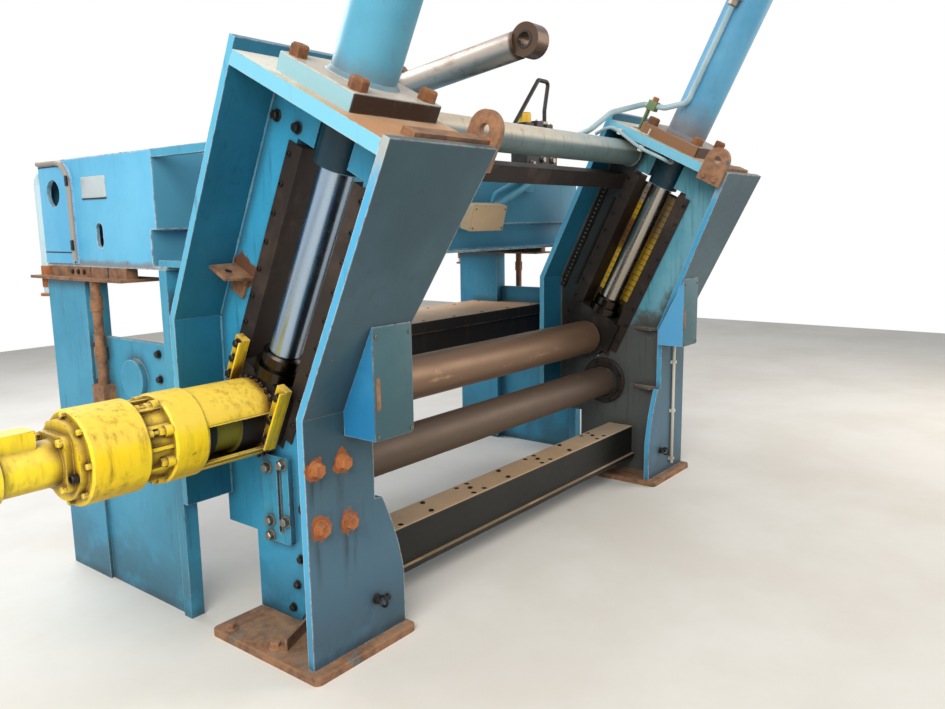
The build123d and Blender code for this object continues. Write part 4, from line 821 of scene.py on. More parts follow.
class Forge:
    """Gathers the mesh of one piece before it is hung on its body."""

    def __init__(self) -> None:
        """Start with an empty mesh."""
        self.bm = bmesh.new()

    def ring(self, place: Matrix, radius: float, height: float, steps: int) -> list[bmesh.types.BMVert]:
        """Corners on a circle round the local Z axis, or the one point of a circle without a radius.

        Args:
            place: Frame of the turned part.
            radius: Radius of the circle.
            height: Height above the frame.
            steps: Number of corners.

        Returns:
            The new corners.
        """
        turns = [2.0 * math.pi * i / steps for i in range(steps)] if radius > 0.0 else [0.0]
        points = [Vector((radius * math.cos(a), radius * math.sin(a), height)) for a in turns]
        return [self.bm.verts.new(place @ point) for point in points]

    def skin(self, rings: Sequence[list[bmesh.types.BMVert]], steps: int) -> None:
        """Join rings of corners with faces.

        Args:
            rings: Rings from bottom to top.
            steps: Number of faces round.
        """
        for low, high in zip(rings, rings[1:]):
            for i in range(steps):
                j = (i + 1) % steps
                corners = [low[i % len(low)], low[j % len(low)], high[j % len(high)], high[i % len(high)]]
                corners = list(dict.fromkeys(corners))
                if len(corners) > 2:
                    self.bm.faces.new(corners)

    def lathe(self, place: Matrix, profile: Pairs, steps: int = 20) -> None:
        """Turn a profile of radius and height round the local Z axis.

        Args:
            place: Frame of the turned part.
            profile: Radius and height pairs from bottom to top.
            steps: Number of facets round.
        """
        self.skin([self.ring(place, radius, height, steps) for radius, height in profile], steps)

    def plate(self, place: Matrix, outline: Pairs, thick: float, soft: float = 0.0) -> None:
        """Extrude an outline along the local Z axis.

        Args:
            place: Frame of the plate.
            outline: Corners in the local XY plane, counterclockwise.
            thick: Thickness.
            soft: Width of the rounding along the edges.
        """
        low = [self.bm.verts.new(place @ Vector((x, y, 0.0))) for x, y in outline]
        high = [self.bm.verts.new(place @ Vector((x, y, thick))) for x, y in outline]
        faces = [self.bm.faces.new(low[::-1]), self.bm.faces.new(high)]
        for i in range(len(low)):
            j = (i + 1) % len(low)
            faces.append(self.bm.faces.new((low[i], low[j], high[j], high[i])))
        if soft > 0.0:
            edges = list(dict.fromkeys(edge for face in faces for edge in face.edges))
            bmesh.ops.bevel(self.bm, geom=edges, offset=soft, segments=2, affect="EDGES", profile=0.6)

    def bar(self, place: Matrix, size: tuple[float, float, float], soft: float = 0.001) -> None:
        """Rectangular block that stands on the local XY plane.

        Args:
            place: Frame of the block, at the middle of its foot.
            size: Length, width and height.
            soft: Width of the rounding along the edges.
        """
        x, y = size[0] / 2, size[1] / 2
        self.plate(place, ((-x, -y), (x, -y), (x, y), (-x, y)), size[2], soft)

    def hex_bolt(self, place: Matrix, across: float, height: float, washer: float = 0.0) -> None:
        """Hexagon head with a turned chamfer, on a washer where it has one.

        Args:
            place: Frame of the surface under the head.
            across: Width across flats.
            height: Height of the head.
            washer: Diameter of the washer, or 0.
        """
        base = 0.0
        if washer > 0.0:
            base = across * 0.12
            self.lathe(place, ((0.0, 0.0), (washer / 2, 0.0), (washer / 2, base * 0.8),
                               (washer / 2 - base * 0.3, base), (0.0, base)), 24)
        corner = across / math.sqrt(3.0)
        profile = ((corner, base), (corner, base + height * 0.84), (across * 0.46, base + height))
        rings = [self.ring(place, radius, z, 6) for radius, z in profile]
        self.skin(rings, 6)
        self.bm.faces.new(rings[-1])
        self.bm.faces.new(rings[0][::-1])

    def cap_screw(self, place: Matrix, dia: float, height: float) -> None:
        """Socket head screw with its key recess.

        Args:
            place: Frame of the surface under the head.
            dia: Diameter of the head.
            height: Height of the head.
        """
        r = dia / 2
        self.lathe(place, ((0.0, 0.0), (r, 0.0), (r, height * 0.85), (r * 0.88, height),
                           (r * 0.52, height), (r * 0.48, height * 0.45), (0.0, height * 0.45)), 18)

    def bolts(self, points: Sequence[Vector], out: Vector, across: float, height: float, washer: float = 0.0) -> None:
        """Hexagon heads on one surface, each turned a little differently.

        Args:
            points: Where the bolts sit.
            out: Direction away from the surface.
            across: Width across flats.
            height: Height of the heads.
            washer: Diameter of the washers, or 0.
        """
        side = out.orthogonal().normalized()
        for k, at in enumerate(points):
            turned = Matrix.Rotation(0.7 * k + 0.3, 3, out) @ side
            self.hex_bolt(seat(at, out, turned), across, height, washer)

    def screws(self, points: Sequence[Vector], out: Vector, dia: float, height: float) -> None:
        """Socket screws on one surface.

        Args:
            points: Where the screws sit.
            out: Direction away from the surface.
            dia: Diameter of the heads.
            height: Height of the heads.
        """
        for at in points:
            self.cap_screw(seat(at, out), dia, height)

    def bead(self, start: Vector, end: Vector, radius: float, seed: int) -> None:
        """Weld seam with its ripples.

        Args:
            start: First end of the seam.
            end: Second end of the seam.
            radius: Radius of the bead.
            seed: Start of the random draw.
        """
        count = max(2, int((end - start).length / RIPPLE))
        self.sweep([start.lerp(end, i / count) for i in range(count + 1)], radius, 8, 0.22, seed)

    def sweep(self, path: Sequence[Vector], radius: float, steps: int = 12, wobble: float = 0.0, seed: int = 1) -> None:
        """Round bar along a path, with closed ends.

        Args:
            path: Points of the centre line.
            radius: Radius of the bar.
            steps: Number of facets round.
            wobble: Share by which the radius varies, for weld beads.
            seed: Start of the random draw.
        """
        draw = random.Random(seed)
        rings = []
        side = None
        for i, point in enumerate(path):
            ahead = path[min(i + 1, len(path) - 1)] - path[max(i - 1, 0)]
            ahead.normalize()
            if side is None:
                side = ahead.orthogonal().normalized()
            side = (side - side.dot(ahead) * ahead).normalized()
            up = ahead.cross(side)
            size = radius * (1.0 + wobble * draw.uniform(-1.0, 1.0))
            rings.append([
                self.bm.verts.new(point + size * (math.cos(a) * side + math.sin(a) * up))
                for a in (2.0 * math.pi * k / steps for k in range(steps))
            ])
        self.skin(rings, steps)
        self.bm.faces.new(rings[0][::-1])
        self.bm.faces.new(rings[-1])

    def hang(self, name: str, finish: Finish, body: Body = Body.FRAME) -> None:
        """Finish the mesh, paint it and hang it on its body.

        Args:
            name: Name of the piece.
            finish: Finish of the piece.
            body: CAD body that carries it.
        """
        bmesh.ops.recalc_face_normals(self.bm, faces=self.bm.faces)
        for face in self.bm.faces:
            face.smooth = True
        for edge in self.bm.edges:
            if len(edge.link_faces) == 2 and edge.calc_face_angle(0.0) > CREASE:
                edge.smooth = False
        mesh = bpy.data.meshes.new(name)
        self.bm.to_mesh(mesh)
        self.bm.free()
        mesh.materials.append(PAINTS.material(finish))
        piece = bpy.data.objects.new(name, mesh)
        bpy.context.scene.collection.objects.link(piece)
        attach(piece, body.value)
        LOG.info("%s: %d faces on %s", name, len(mesh.polygons), body.value)


def rounded_path(points: Sequence[Vector], radius: float, steps: int = 6) -> list[Vector]:
    """Rounds the corners of a pipe route.

    Args:
        points: Corners of the route.
        radius: Bend radius of the pipe.
        steps: Points in each bend.

    Returns:
        Points along the bent pipe.
    """
    path = [points[0]]
    for before, corner, after in zip(points, points[1:], points[2:]):
        back, ahead = (before - corner), (after - corner)
        reach = min(radius, 0.45 * back.length, 0.45 * ahead.length)
        start = corner + back.normalized() * reach
        end = corner + ahead.normalized() * reach
        for i in range(steps + 1):
            t = i / steps
            path.append((1 - t) ** 2 * start + 2 * t * (1 - t) * corner + t * t * end)
    path.append(points[-1])
    return path

def shaft_circle(centre: Vector, x: float, radius: float, angles: Sequence[float]) -> list[Vector]:
    """Points on a circle round a shaft that runs along X.

    Args:
        centre: Middle of the shaft.
        x: Place along the machine.
        radius: Radius of the circle.
        angles: Degrees from the rear, upwards.

    Returns:
        One point for each angle.
    """
    turns = [math.radians(a) for a in angles]
    return [Vector((x, centre.y + radius * math.cos(a), centre.z + radius * math.sin(a))) for a in turns]


def mirror_x(x: float, mirrored: bool) -> float:
    """Place of a piece on the left frame, or of its twin on the right one.

    Args:
        x: Place on the left frame.
        mirrored: True for the right frame.

    Returns:
        Place along the machine.
    """
    return PITCH - x if mirrored else x


def side_name(mirrored: bool) -> str:
    """Left or right, for the names of pieces."""
    return "right" if mirrored else "left"


def outward(mirrored: bool) -> Vector:
    """Direction away from the machine on one side."""
    return SIDE if mirrored else -SIDE


def upright(x: float, pairs: Pairs) -> list[Vector]:
    """Points on an upright plane across the machine, from pairs of depth and height."""
    return [Vector((x, y, z)) for y, z in pairs]


def corners(x: float, y: float) -> list[tuple[float, float]]:
    """Corners of a rectangle round the origin, from half its length and half its width."""
    return [(dx, dy) for dx in (-x, x) for dy in (-y, y)]


def clipped(w: float, h: float, cut: float, rise: float, middle: float = 0.0) -> list[tuple[float, float]]:
    """Outline of a rectangle with cut corners, counterclockwise.

    Args:
        w: Half of its width.
        h: Half of its height.
        cut: Width of a cut.
        rise: Height of a cut.
        middle: Height of its middle.

    Returns:
        The eight corners.
    """
    foot = ((-w, rise - h), (cut - w, -h), (w - cut, -h), (w, rise - h))
    return [(side * x, middle + side * y) for side in (1.0, -1.0) for x, y in foot]


UPPER_ROLL = guide(0.0, SLIDE_V, ROLL_U)
LOWER_ROLL = UPPER_ROLL + Vector((0.0, -0.112, -0.267))
EIGHTHS = [45.0 * k for k in range(8)]
HALFWAY = [22.5 + angle for angle in EIGHTHS]


@dataclass
class FrameFastenings:
    """Bolts, rail screws and small brackets of the two leaning frames."""

    head_across: float = 0.046
    head_height: float = 0.024
    small_across: float = 0.024
    mount_across: float = 0.055
    web_face: float = 0.045
    keeper_face: float = 0.070
    strip_reach: float = 0.193
    strip_face: float = 0.050
    web_bolts: Pairs = ((0.291, 0.295), (0.318, 0.186), (0.349, 0.085), (0.272, 0.062))
    keeper_bolts: Pairs = (
        (0.430, 0.640), (0.343, 0.664), (0.428, 0.430), (0.336, 0.442), (0.430, 0.368))
    head_bolts: Pairs = ((1.128, 1.590), (1.010, 1.592))

    def front(self) -> None:
        """Rusty bolts low on the left front flange."""
        forge = Forge()
        for k, at in enumerate(FRONT_BOLTS):
            turn = Vector((math.cos(0.5 + k), 0.0, math.sin(0.5 + k)))
            forge.hex_bolt(seat(at, AHEAD, turn), self.head_across, self.head_height, self.head_across * 1.4)
        forge.hang("left_front_bolts", Finish.ORANGE)

    def bearing_flange(self, mirrored: bool) -> None:
        """Bolted flange round the end of the lower roll, on the inner face of a web.

        Args:
            mirrored: True for the right frame.
        """
        name = side_name(mirrored)
        face = mirror_x(self.web_face, mirrored)
        way = -outward(mirrored)
        centre = Vector((face, LOWER_ROLL.y, LOWER_ROLL.z))
        flange = ((0.098, 0.0), (0.142, 0.0), (0.142, 0.012), (0.136, 0.018), (0.116, 0.018), (0.112, 0.026),
                  (0.100, 0.026), (0.098, 0.024), (0.098, 0.0))
        forge = Forge()
        forge.lathe(seat(centre, way), flange, 48)
        forge.hang(f"{name}_bearing_flange", Finish.DARK)
        forge = Forge()
        points = shaft_circle(LOWER_ROLL, face, 0.128, HALFWAY)
        forge.bolts([at + 0.018 * way for at in points], way, 0.019, 0.012)
        forge.hang(f"{name}_bearing_bolts", Finish.BLACK)

    def conduit(self) -> None:
        """Pale conduit down the right front flange, with its saddles."""
        forge = Forge()
        x = PITCH + 0.084
        forge.sweep([Vector((x, -0.012, 0.070)), Vector((x, -0.012, 0.802))], 0.0085, 14)
        for z in (0.100, 0.400, 0.700):
            forge.bar(seat(Vector((x, 0.0, z)), AHEAD), (0.046, 0.020, 0.004))
            forge.hex_bolt(seat(Vector((x, -0.018, z)), AHEAD), 0.018, 0.008)
        forge.hang("flange_conduit", Finish.WHITE)

    def web(self, mirrored: bool) -> None:
        """Bolts and plugs on the outer face of a web and its keeper.

        Args:
            mirrored: True for the right frame.
        """
        name = side_name(mirrored)
        out = outward(mirrored)
        face = mirror_x(-self.web_face, mirrored)
        forge = Forge()
        forge.bolts(upright(face, self.web_bolts), out, self.small_across, 0.014, 0.036)
        plug = seat(Vector((face, 0.270, 0.494)), out)
        forge.lathe(plug, ((0.0, 0.0), (0.019, 0.0), (0.019, 0.007), (0.015, 0.010), (0.0, 0.010)), 20)
        forge.bolts([guide(face, v, u) for v, u in self.head_bolts], out, 0.030, 0.018, 0.044)
        forge.hang(f"{name}_web_bolts", Finish.BLACK)
        forge = Forge()
        face = mirror_x(-self.keeper_face, mirrored)
        forge.bolts(upright(face, self.keeper_bolts), out, 0.032, 0.020, 0.046)
        forge.hang(f"{name}_keeper_bolts", Finish.BRIGHT)

    def rails(self, mirrored: bool) -> None:
        """Countersunk screws along the wear strips.

        Args:
            mirrored: True for the right frame.
        """
        forge = Forge()
        for way in (-1.0, 1.0):
            face = mirror_x(way * self.strip_face, mirrored)
            points = [
                guide(face, SLIDE_V + side * self.strip_reach, 0.60 + 0.112 * k)
                for side in (-1.0, 1.0) for k in range(9)
            ]
            forge.screws(points, (face - mirror_x(0.0, mirrored)) * SIDE, 0.020, 0.007)
        forge.hang(f"{side_name(mirrored)}_rail_screws", Finish.BLACK)

    def mounts(self) -> None:
        """Large bolts of the cylinder mountings."""
        forge = Forge()
        for base in (0.0, PITCH):
            points = [guide(base + dx, SLIDE_V + dv, MOUNT_TOP) for dx, dv in corners(0.155, 0.145)]
            forge.bolts(points, UP_LEAN, self.mount_across, 0.038)
        forge.hang("mount_bolts", Finish.BOLT)

    def gauge_bracket(self) -> None:
        """Rusty angle on the left web, with its hole."""
        forge = Forge()
        shelf = seat(guide(-self.web_face, 1.100, 0.986), UP_LEAN)
        forge.plate(shelf, ((-0.118, -0.050), (0.0, -0.062), (0.0, 0.060), (-0.118, 0.052)), 0.012, 0.001)
        leg = seat(guide(-self.web_face, 1.100, 0.942), -SIDE, UP_LEAN)
        forge.bar(leg, (0.088, 0.080, 0.010))
        forge.hang("gauge_bracket", Finish.RUST)
        forge = Forge()
        hole = seat(guide(-0.115, 1.100, 0.998), UP_LEAN)
        forge.lathe(hole, ((0.0, 0.0005), (0.012, 0.0005), (0.014, 0.0)), 16)
        forge.hang("gauge_bracket_hole", Finish.BLACK)

    def eyebolts(self) -> None:
        """Small eyebolt low on each front flange."""
        forge = Forge()
        for mirrored in (False, True):
            at = Vector((mirror_x(0.058, mirrored), 0.0, 0.180))
            forge.hex_bolt(seat(at, AHEAD), 0.030, 0.014, 0.040)
            ring = [
                at + Vector((0.0, -0.036 - 0.020 * math.cos(a), 0.020 * math.sin(a)))
                for a in (2.0 * math.pi * k / 20 for k in range(21))
            ]
            forge.sweep(ring, 0.0050, 8)
            forge.hex_bolt(seat(at + Vector((0.052, 0.0, -0.012)), AHEAD), 0.022, 0.016)
        forge.hang("flange_eyebolts", Finish.BLACK)

    def lugs(self) -> None:
        """Bolts at the feet of the lifting lugs."""
        forge = Forge()
        for mirrored in (False, True):
            face = mirror_x(0.275, mirrored)
            way = -outward(mirrored)
            forge.bolts([guide(face, 0.452, 1.728), guide(face, 0.518, 1.728)], way, 0.024, 0.014, 0.034)
        forge.hang("lug_bolts", Finish.LUG)

    def build(self) -> None:
        """Make all fastenings of the frames."""
        self.front()
        for mirrored in (False, True):
            self.web(mirrored)
            self.rails(mirrored)
            self.bearing_flange(mirrored)
        self.mounts()
        self.gauge_bracket()
        self.eyebolts()
        self.lugs()
        self.conduit()


@dataclass
class WeldSeams:
    """Weld beads between webs, flanges, plates and the tie tube."""

    radius: float = 0.0055
    offset: float = 0.047
    front_v: float = FRONT_V + 0.032
    rear_v: float = FRONT_V + 0.758

    def frame(self, mirrored: bool) -> None:
        """Seams of one frame, on both faces of its web.

        Args:
            mirrored: True for the right frame.
        """
        forge = Forge()
        for k, way in enumerate((-1.0, 1.0)):
            x = mirror_x(way * self.offset, mirrored)
            forge.bead(guide(x, self.front_v, 0.815), guide(x, self.front_v, 1.722), self.radius, 11 + k)
            forge.bead(guide(x, self.rear_v, 0.772), guide(x, self.rear_v, 1.722), self.radius, 21 + k)
            forge.bead(Vector((x, 0.032, 0.034)), Vector((x, 0.032, 0.916)), self.radius, 31 + k)
            forge.bead(Vector((x, 0.703, 0.484)), Vector((x, 0.703, 1.200)), self.radius, 41 + k)
            forge.bead(guide(x, self.front_v, 1.722), guide(x, self.rear_v, 1.722), self.radius, 51 + k)
            forge.bead(Vector((x, 0.034, 0.032)), Vector((x, 0.548, 0.032)), self.radius, 61 + k)
        finish = Finish.INNER_SEAM if mirrored else Finish.WEB
        forge.hang(f"{side_name(mirrored)}_frame_seams", finish)

    def tie(self) -> None:
        """Ring seams at both ends of the tie tube."""
        forge = Forge()
        centre = guide(0.0, 1.0787, 1.6255)
        for k, x in enumerate((0.048, PITCH - 0.048)):
            forge.sweep(shaft_circle(centre, x, 0.072, range(0, 361, 8)), 0.006, 8, 0.2, 71 + k)
        forge.hang("tie_tube_seams", Finish.TUBE)

    def build(self) -> None:
        """Make the seams."""
        self.frame(False)
        self.frame(True)
        self.tie()


@dataclass
class CoverLids:
    """Screwed front lids of the two cover boxes."""

    half_width: float = 0.0945
    height: float = 0.386
    middle: float = 0.025
    face: float = -0.150
    foot: float = 0.828
    thick: float = 0.004
    corner: float = 0.010

    def build(self) -> None:
        """Make both lids with their corner screws."""
        w, h = self.half_width, self.height
        for mirrored in (False, True):
            name = side_name(mirrored)
            place = seat(Vector((mirror_x(self.middle, mirrored), self.face, self.foot)), AHEAD)
            forge = Forge()
            forge.plate(place, clipped(w, h / 2, self.corner, self.corner, h / 2), self.thick, 0.0012)
            forge.hang(f"{name}_cover_lid", Finish.LID)
            forge = Forge()
            lift = self.thick * AHEAD
            points = [place @ Vector((x, z, 0.0)) + lift for x in (0.013 - w, w - 0.013) for z in (0.016, h - 0.030)]
            forge.screws(points, AHEAD, 0.012, 0.005)
            forge.hang(f"{name}_lid_screws", Finish.BRIGHT)
            forge = Forge()
            slot = seat(place @ Vector((-w + 0.020, 0.160, 0.0)) + lift, AHEAD)
            forge.plate(slot, clipped(0.009, 0.056, 0.004, 0.011), 0.0012)
            forge.hang(f"{name}_lid_slot", Finish.RUST)


@dataclass
class DriveFastenings:
    """Bolts, studs and seams of the drive, which all travel with the left chock."""

    ring_left: float = -0.491
    boss_reach: float = 0.026
    boss_circle: float = 0.134
    case_left: float = -0.774
    case_circle: float = 0.141
    cover_left: float = -0.800
    motor_face: float = -0.824
    motor_bolts: float = 0.073
    guard_left: float = -0.372
    guard_radius: float = 0.1515
    stud_x: float = -0.087
    stud_circle: float = 0.149
    arm_face: float = -0.106
    arm_reach: float = 0.140

    def case(self) -> None:
        """Bolts of the gear case and the motor, and two plugs between the bosses."""
        forge = Forge()
        bosses = self.ring_left - self.boss_reach
        forge.bolts(shaft_circle(UPPER_ROLL, bosses, self.boss_circle, HALFWAY), -SIDE, 0.028, 0.020)
        forge.bolts(shaft_circle(UPPER_ROLL, self.case_left, self.case_circle, EIGHTHS), -SIDE, 0.018, 0.015)
        square = corners(self.motor_bolts, self.motor_bolts)
        motor = upright(self.motor_face, [(UPPER_ROLL.y + dy, UPPER_ROLL.z + dz) for dy, dz in square])
        forge.bolts(motor, -SIDE, 0.024, 0.015)
        stem = ((0.0, 0.0), (0.008, 0.0), (0.008, 0.022), (0.015, 0.022), (0.015, 0.036), (0.011, 0.040), (0.0, 0.040))
        for centre in shaft_circle(UPPER_ROLL, self.ring_left - 0.046, self.boss_circle, HALFWAY[2:4]):
            forge.lathe(seat(centre, -SIDE), stem, 12)
        forge.hang("gear_case_bolts", Finish.YELLOW, Body.PRESS)

    def studs(self) -> None:
        """Studs round the end of the guard, and the plug of the gear case."""
        forge = Forge()
        plug = shaft_circle(UPPER_ROLL, self.cover_left, 0.112, (200.0,))[0]
        cup = ((0.0, 0.0), (0.015, 0.0), (0.015, 0.018), (0.012, 0.022), (0.010, 0.022), (0.009, 0.010), (0.0, 0.010))
        forge.lathe(seat(plug, -SIDE), cup, 20)
        for at in shaft_circle(UPPER_ROLL, self.stud_x, self.stud_circle, (*range(52, 160, 12), 230, 242, 254)):
            forge.hex_bolt(seat(at, at - Vector((at.x, UPPER_ROLL.y, UPPER_ROLL.z))), 0.015, 0.012)
        forge.hang("guard_studs", Finish.BLACK, Body.PRESS)

    def trim(self) -> None:
        """Ring seam and edge lines of the guard, and the lips of the arms."""
        forge = Forge()
        ring = shaft_circle(UPPER_ROLL, self.guard_left + 0.002, self.guard_radius, range(0, 361, 6))
        forge.sweep(ring, 0.005, 8, 0.2, 5)
        for angle in (166.5, 221.5, 230.0, 330.0):
            ends = (self.guard_left + 0.012, self.guard_left + 0.262)
            forge.sweep([shaft_circle(UPPER_ROLL, x, self.guard_radius, (angle,))[0] for x in ends], 0.0025, 6)
        for v, u, length, height in ((-0.162, 0.610, 0.250, 0.022), (0.118, 0.700, 0.160, 0.016)):
            forge.bar(seat(guide(self.arm_face, SLIDE_V + v, u), -SIDE, UP_LEAN), (length, 0.008, height))
        forge.hang("guard_trim", Finish.YELLOW, Body.PRESS)

    def arms(self) -> None:
        """Bolts of the two arms that carry the drive."""
        forge = Forge()
        rows = ((-self.arm_reach, (0.512, 0.600, 0.700)), (self.arm_reach, (0.630, 0.700, 0.765)))
        points = [guide(self.arm_face, SLIDE_V + v, u) for v, heights in rows for u in heights]
        forge.bolts(points, -SIDE, 0.026, 0.016, 0.036)
        forge.hang("arm_bolts", Finish.BLACK, Body.PRESS)

    def end_cover(self) -> None:
        """Screws of the cover at the roll's right end."""
        forge = Forge()
        forge.screws(shaft_circle(UPPER_ROLL, PITCH + 0.091, 0.090, range(0, 360, 60)), SIDE, 0.016, 0.005)
        forge.hang("end_cover_screws", Finish.BLACK, Body.PRESS)

    def build(self) -> None:
        """Make the fastenings of the drive."""
        self.case()
        self.studs()
        self.trim()
        self.arms()
        self.end_cover()


@dataclass
class WindowScales:
    """Yellow tick strips beside the right rod, their tabs and the switch row."""

    face: float = PITCH + 0.105
    low: float = 0.790
    high: float = 1.485
    pitch: float = 0.036
    rear: tuple[float, float] = (0.9235, 0.083)
    front: tuple[float, float] = (0.7440, 0.104)
    tab_thick: float = 0.003

    def strip(self, name: str, middle: float, width: float, finish: Finish) -> None:
        """One strip with its ticks and pale edge.

        Args:
            name: Name of the strip.
            middle: Place across the lean.
            width: Width of the strip.
            finish: Finish of the strip.
        """
        length = self.high - self.low
        centre = guide(self.face, middle, (self.low + self.high) / 2)
        forge = Forge()
        forge.bar(seat(centre, -SIDE, UP_LEAN), (length, width, 0.0025), 0.0)
        forge.hang(f"{name}_scale", finish)
        forge = Forge()
        top = centre - 0.0025 * SIDE
        for k in range(1, int(length / self.pitch)):
            draw = random.Random(k)
            at = top + (k * self.pitch - length / 2 + draw.uniform(-0.002, 0.002)) * UP_LEAN
            share = 0.86 if k % 5 == 0 else 0.66
            forge.bar(seat(at + 0.08 * width * ACROSS_LEAN, -SIDE, UP_LEAN), (0.0035, width * share, 0.0004), 0.0)
        forge.bar(seat(top + 0.05 * width * ACROSS_LEAN, -SIDE, UP_LEAN), (length, 0.0030, 0.0004), 0.0)
        forge.hang(f"{name}_scale_ticks", Finish.BLACK)
        forge = Forge()
        edge = top - (width / 2 - 0.0035) * ACROSS_LEAN
        forge.bar(seat(edge, -SIDE, UP_LEAN), (length, 0.007, 0.0006), 0.0)
        forge.hang(f"{name}_scale_edge", Finish.WHITE)

    def tabs(self) -> None:
        """White and red tabs at the heads of the strips."""
        foot = seat(guide(self.face, 0.0, 0.0), -SIDE, UP_LEAN)
        white = ((1.480, 0.895), (1.543, 0.880), (1.573, 0.939), (1.524, 0.915), (1.530, 0.962), (1.480, 0.962))
        red = ((1.480, 0.705), (1.513, 0.708), (1.546, 0.664), (1.576, 0.692), (1.533, 0.745), (1.480, 0.750))
        forge = Forge()
        forge.plate(foot, white, self.tab_thick)
        forge.hang("white_tab", Finish.WHITE)
        forge = Forge()
        forge.plate(foot, red, self.tab_thick)
        forge.hang("red_tab", Finish.RED)

    def switch_row(self) -> None:
        """Row of small studs along the switch strip of the right web."""
        forge = Forge()
        points = [guide(PITCH - 0.060, SLIDE_V + 0.305, 0.735 + 0.027 * k) for k in range(25)]
        forge.screws(points, -SIDE, 0.011, 0.004)
        forge.hang("switch_studs", Finish.BRIGHT)

    def build(self) -> None:
        """Make the strips, tabs and studs."""
        self.strip("rear", *self.rear, Finish.REAR_SCALE)
        self.strip("front", *self.front, Finish.FRONT_SCALE)
        self.tabs()
        self.switch_row()


@dataclass
class BridgeTrim:
    """Small pieces on the ends of the bridge and on its side plates."""

    end_face: float = -0.250
    door_face: float = -0.256
    plate_face: float = -0.235
    plate_bolts: Pairs = (
        (0.852, 1.060), (0.852, 0.960), (1.330, 1.055), (1.330, 0.900), (1.330, 0.620), (0.852, 0.620))

    def end(self, mirrored: bool) -> None:
        """Door seams, block bolts and the tube joint of one end.

        Args:
            mirrored: True for the right end.
        """
        name = side_name(mirrored)
        out = outward(mirrored)
        door = mirror_x(self.door_face, mirrored)
        forge = Forge()
        seam = upright(door, ((1.409, 1.403), (1.409, 1.806), (1.664, 1.806)))
        forge.sweep(rounded_path(seam, 0.098, 8), 0.0028, 6)
        forge.bar(seat(Vector((door, 1.538, 1.447)), out, BEHIND), (0.252, 0.005, 0.0015), 0.0)
        for y, z in ((1.392, 1.742), (1.390, 1.478)):
            forge.bar(seat(Vector((mirror_x(-0.270, mirrored), y, z)), out, SKY), (0.042, 0.018, 0.006))
        face = mirror_x(self.end_face, mirrored)
        forge.bolts(upright(face, ((1.350, 1.367), (1.400, 1.367), (1.450, 1.367))), out, 0.018, 0.008)
        plate = upright(mirror_x(self.plate_face, mirrored), self.plate_bolts)
        forge.bolts(plate, out, 0.024, 0.014, 0.034)
        forge.hang(f"{name}_bridge_seams", Finish.BLACK)
        forge = Forge()
        tube = Vector((mirror_x(-0.222, mirrored), 1.725, 0.0))
        for low, high, radius in ((1.345, 1.385, 0.0345), (1.250, 1.262, 0.046), (1.290, 1.333, 0.0345)):
            sleeve = ((0.030, 0.0), (radius, 0.0), (radius, high - low), (0.030, high - low))
            forge.lathe(seat(tube + low * SKY, SKY), sleeve, 24)
        forge.hang(f"{name}_tube_joint", Finish.ORANGE)

    def name_plate(self) -> None:
        """Bare plate on the left end, held by four rivets."""
        place = seat(Vector((self.end_face, 1.215, 1.711)), -SIDE, AHEAD)
        forge = Forge()
        forge.plate(place, clipped(0.095, 0.0425, 0.004, 0.0025), 0.0025, 0.0005)
        for x, y in corners(0.086, 0.034):
            forge.lathe(seat(place @ Vector((x, y, 0.0025)), -SIDE),
                        ((0.0, 0.0), (0.0035, 0.0), (0.0025, 0.0018), (0.0, 0.0024)), 12)
        forge.hang("name_plate", Finish.PLATE)
        forge = Forge()
        forge.bar(seat(place @ Vector((0.0, -0.046, 0.0)), -SIDE, BEHIND), (0.190, 0.005, 0.004), 0.0)
        forge.hang("name_plate_lip", Finish.BLACK)

    def build(self) -> None:
        """Trim both ends."""
        self.end(False)
        self.end(True)
        self.name_plate()


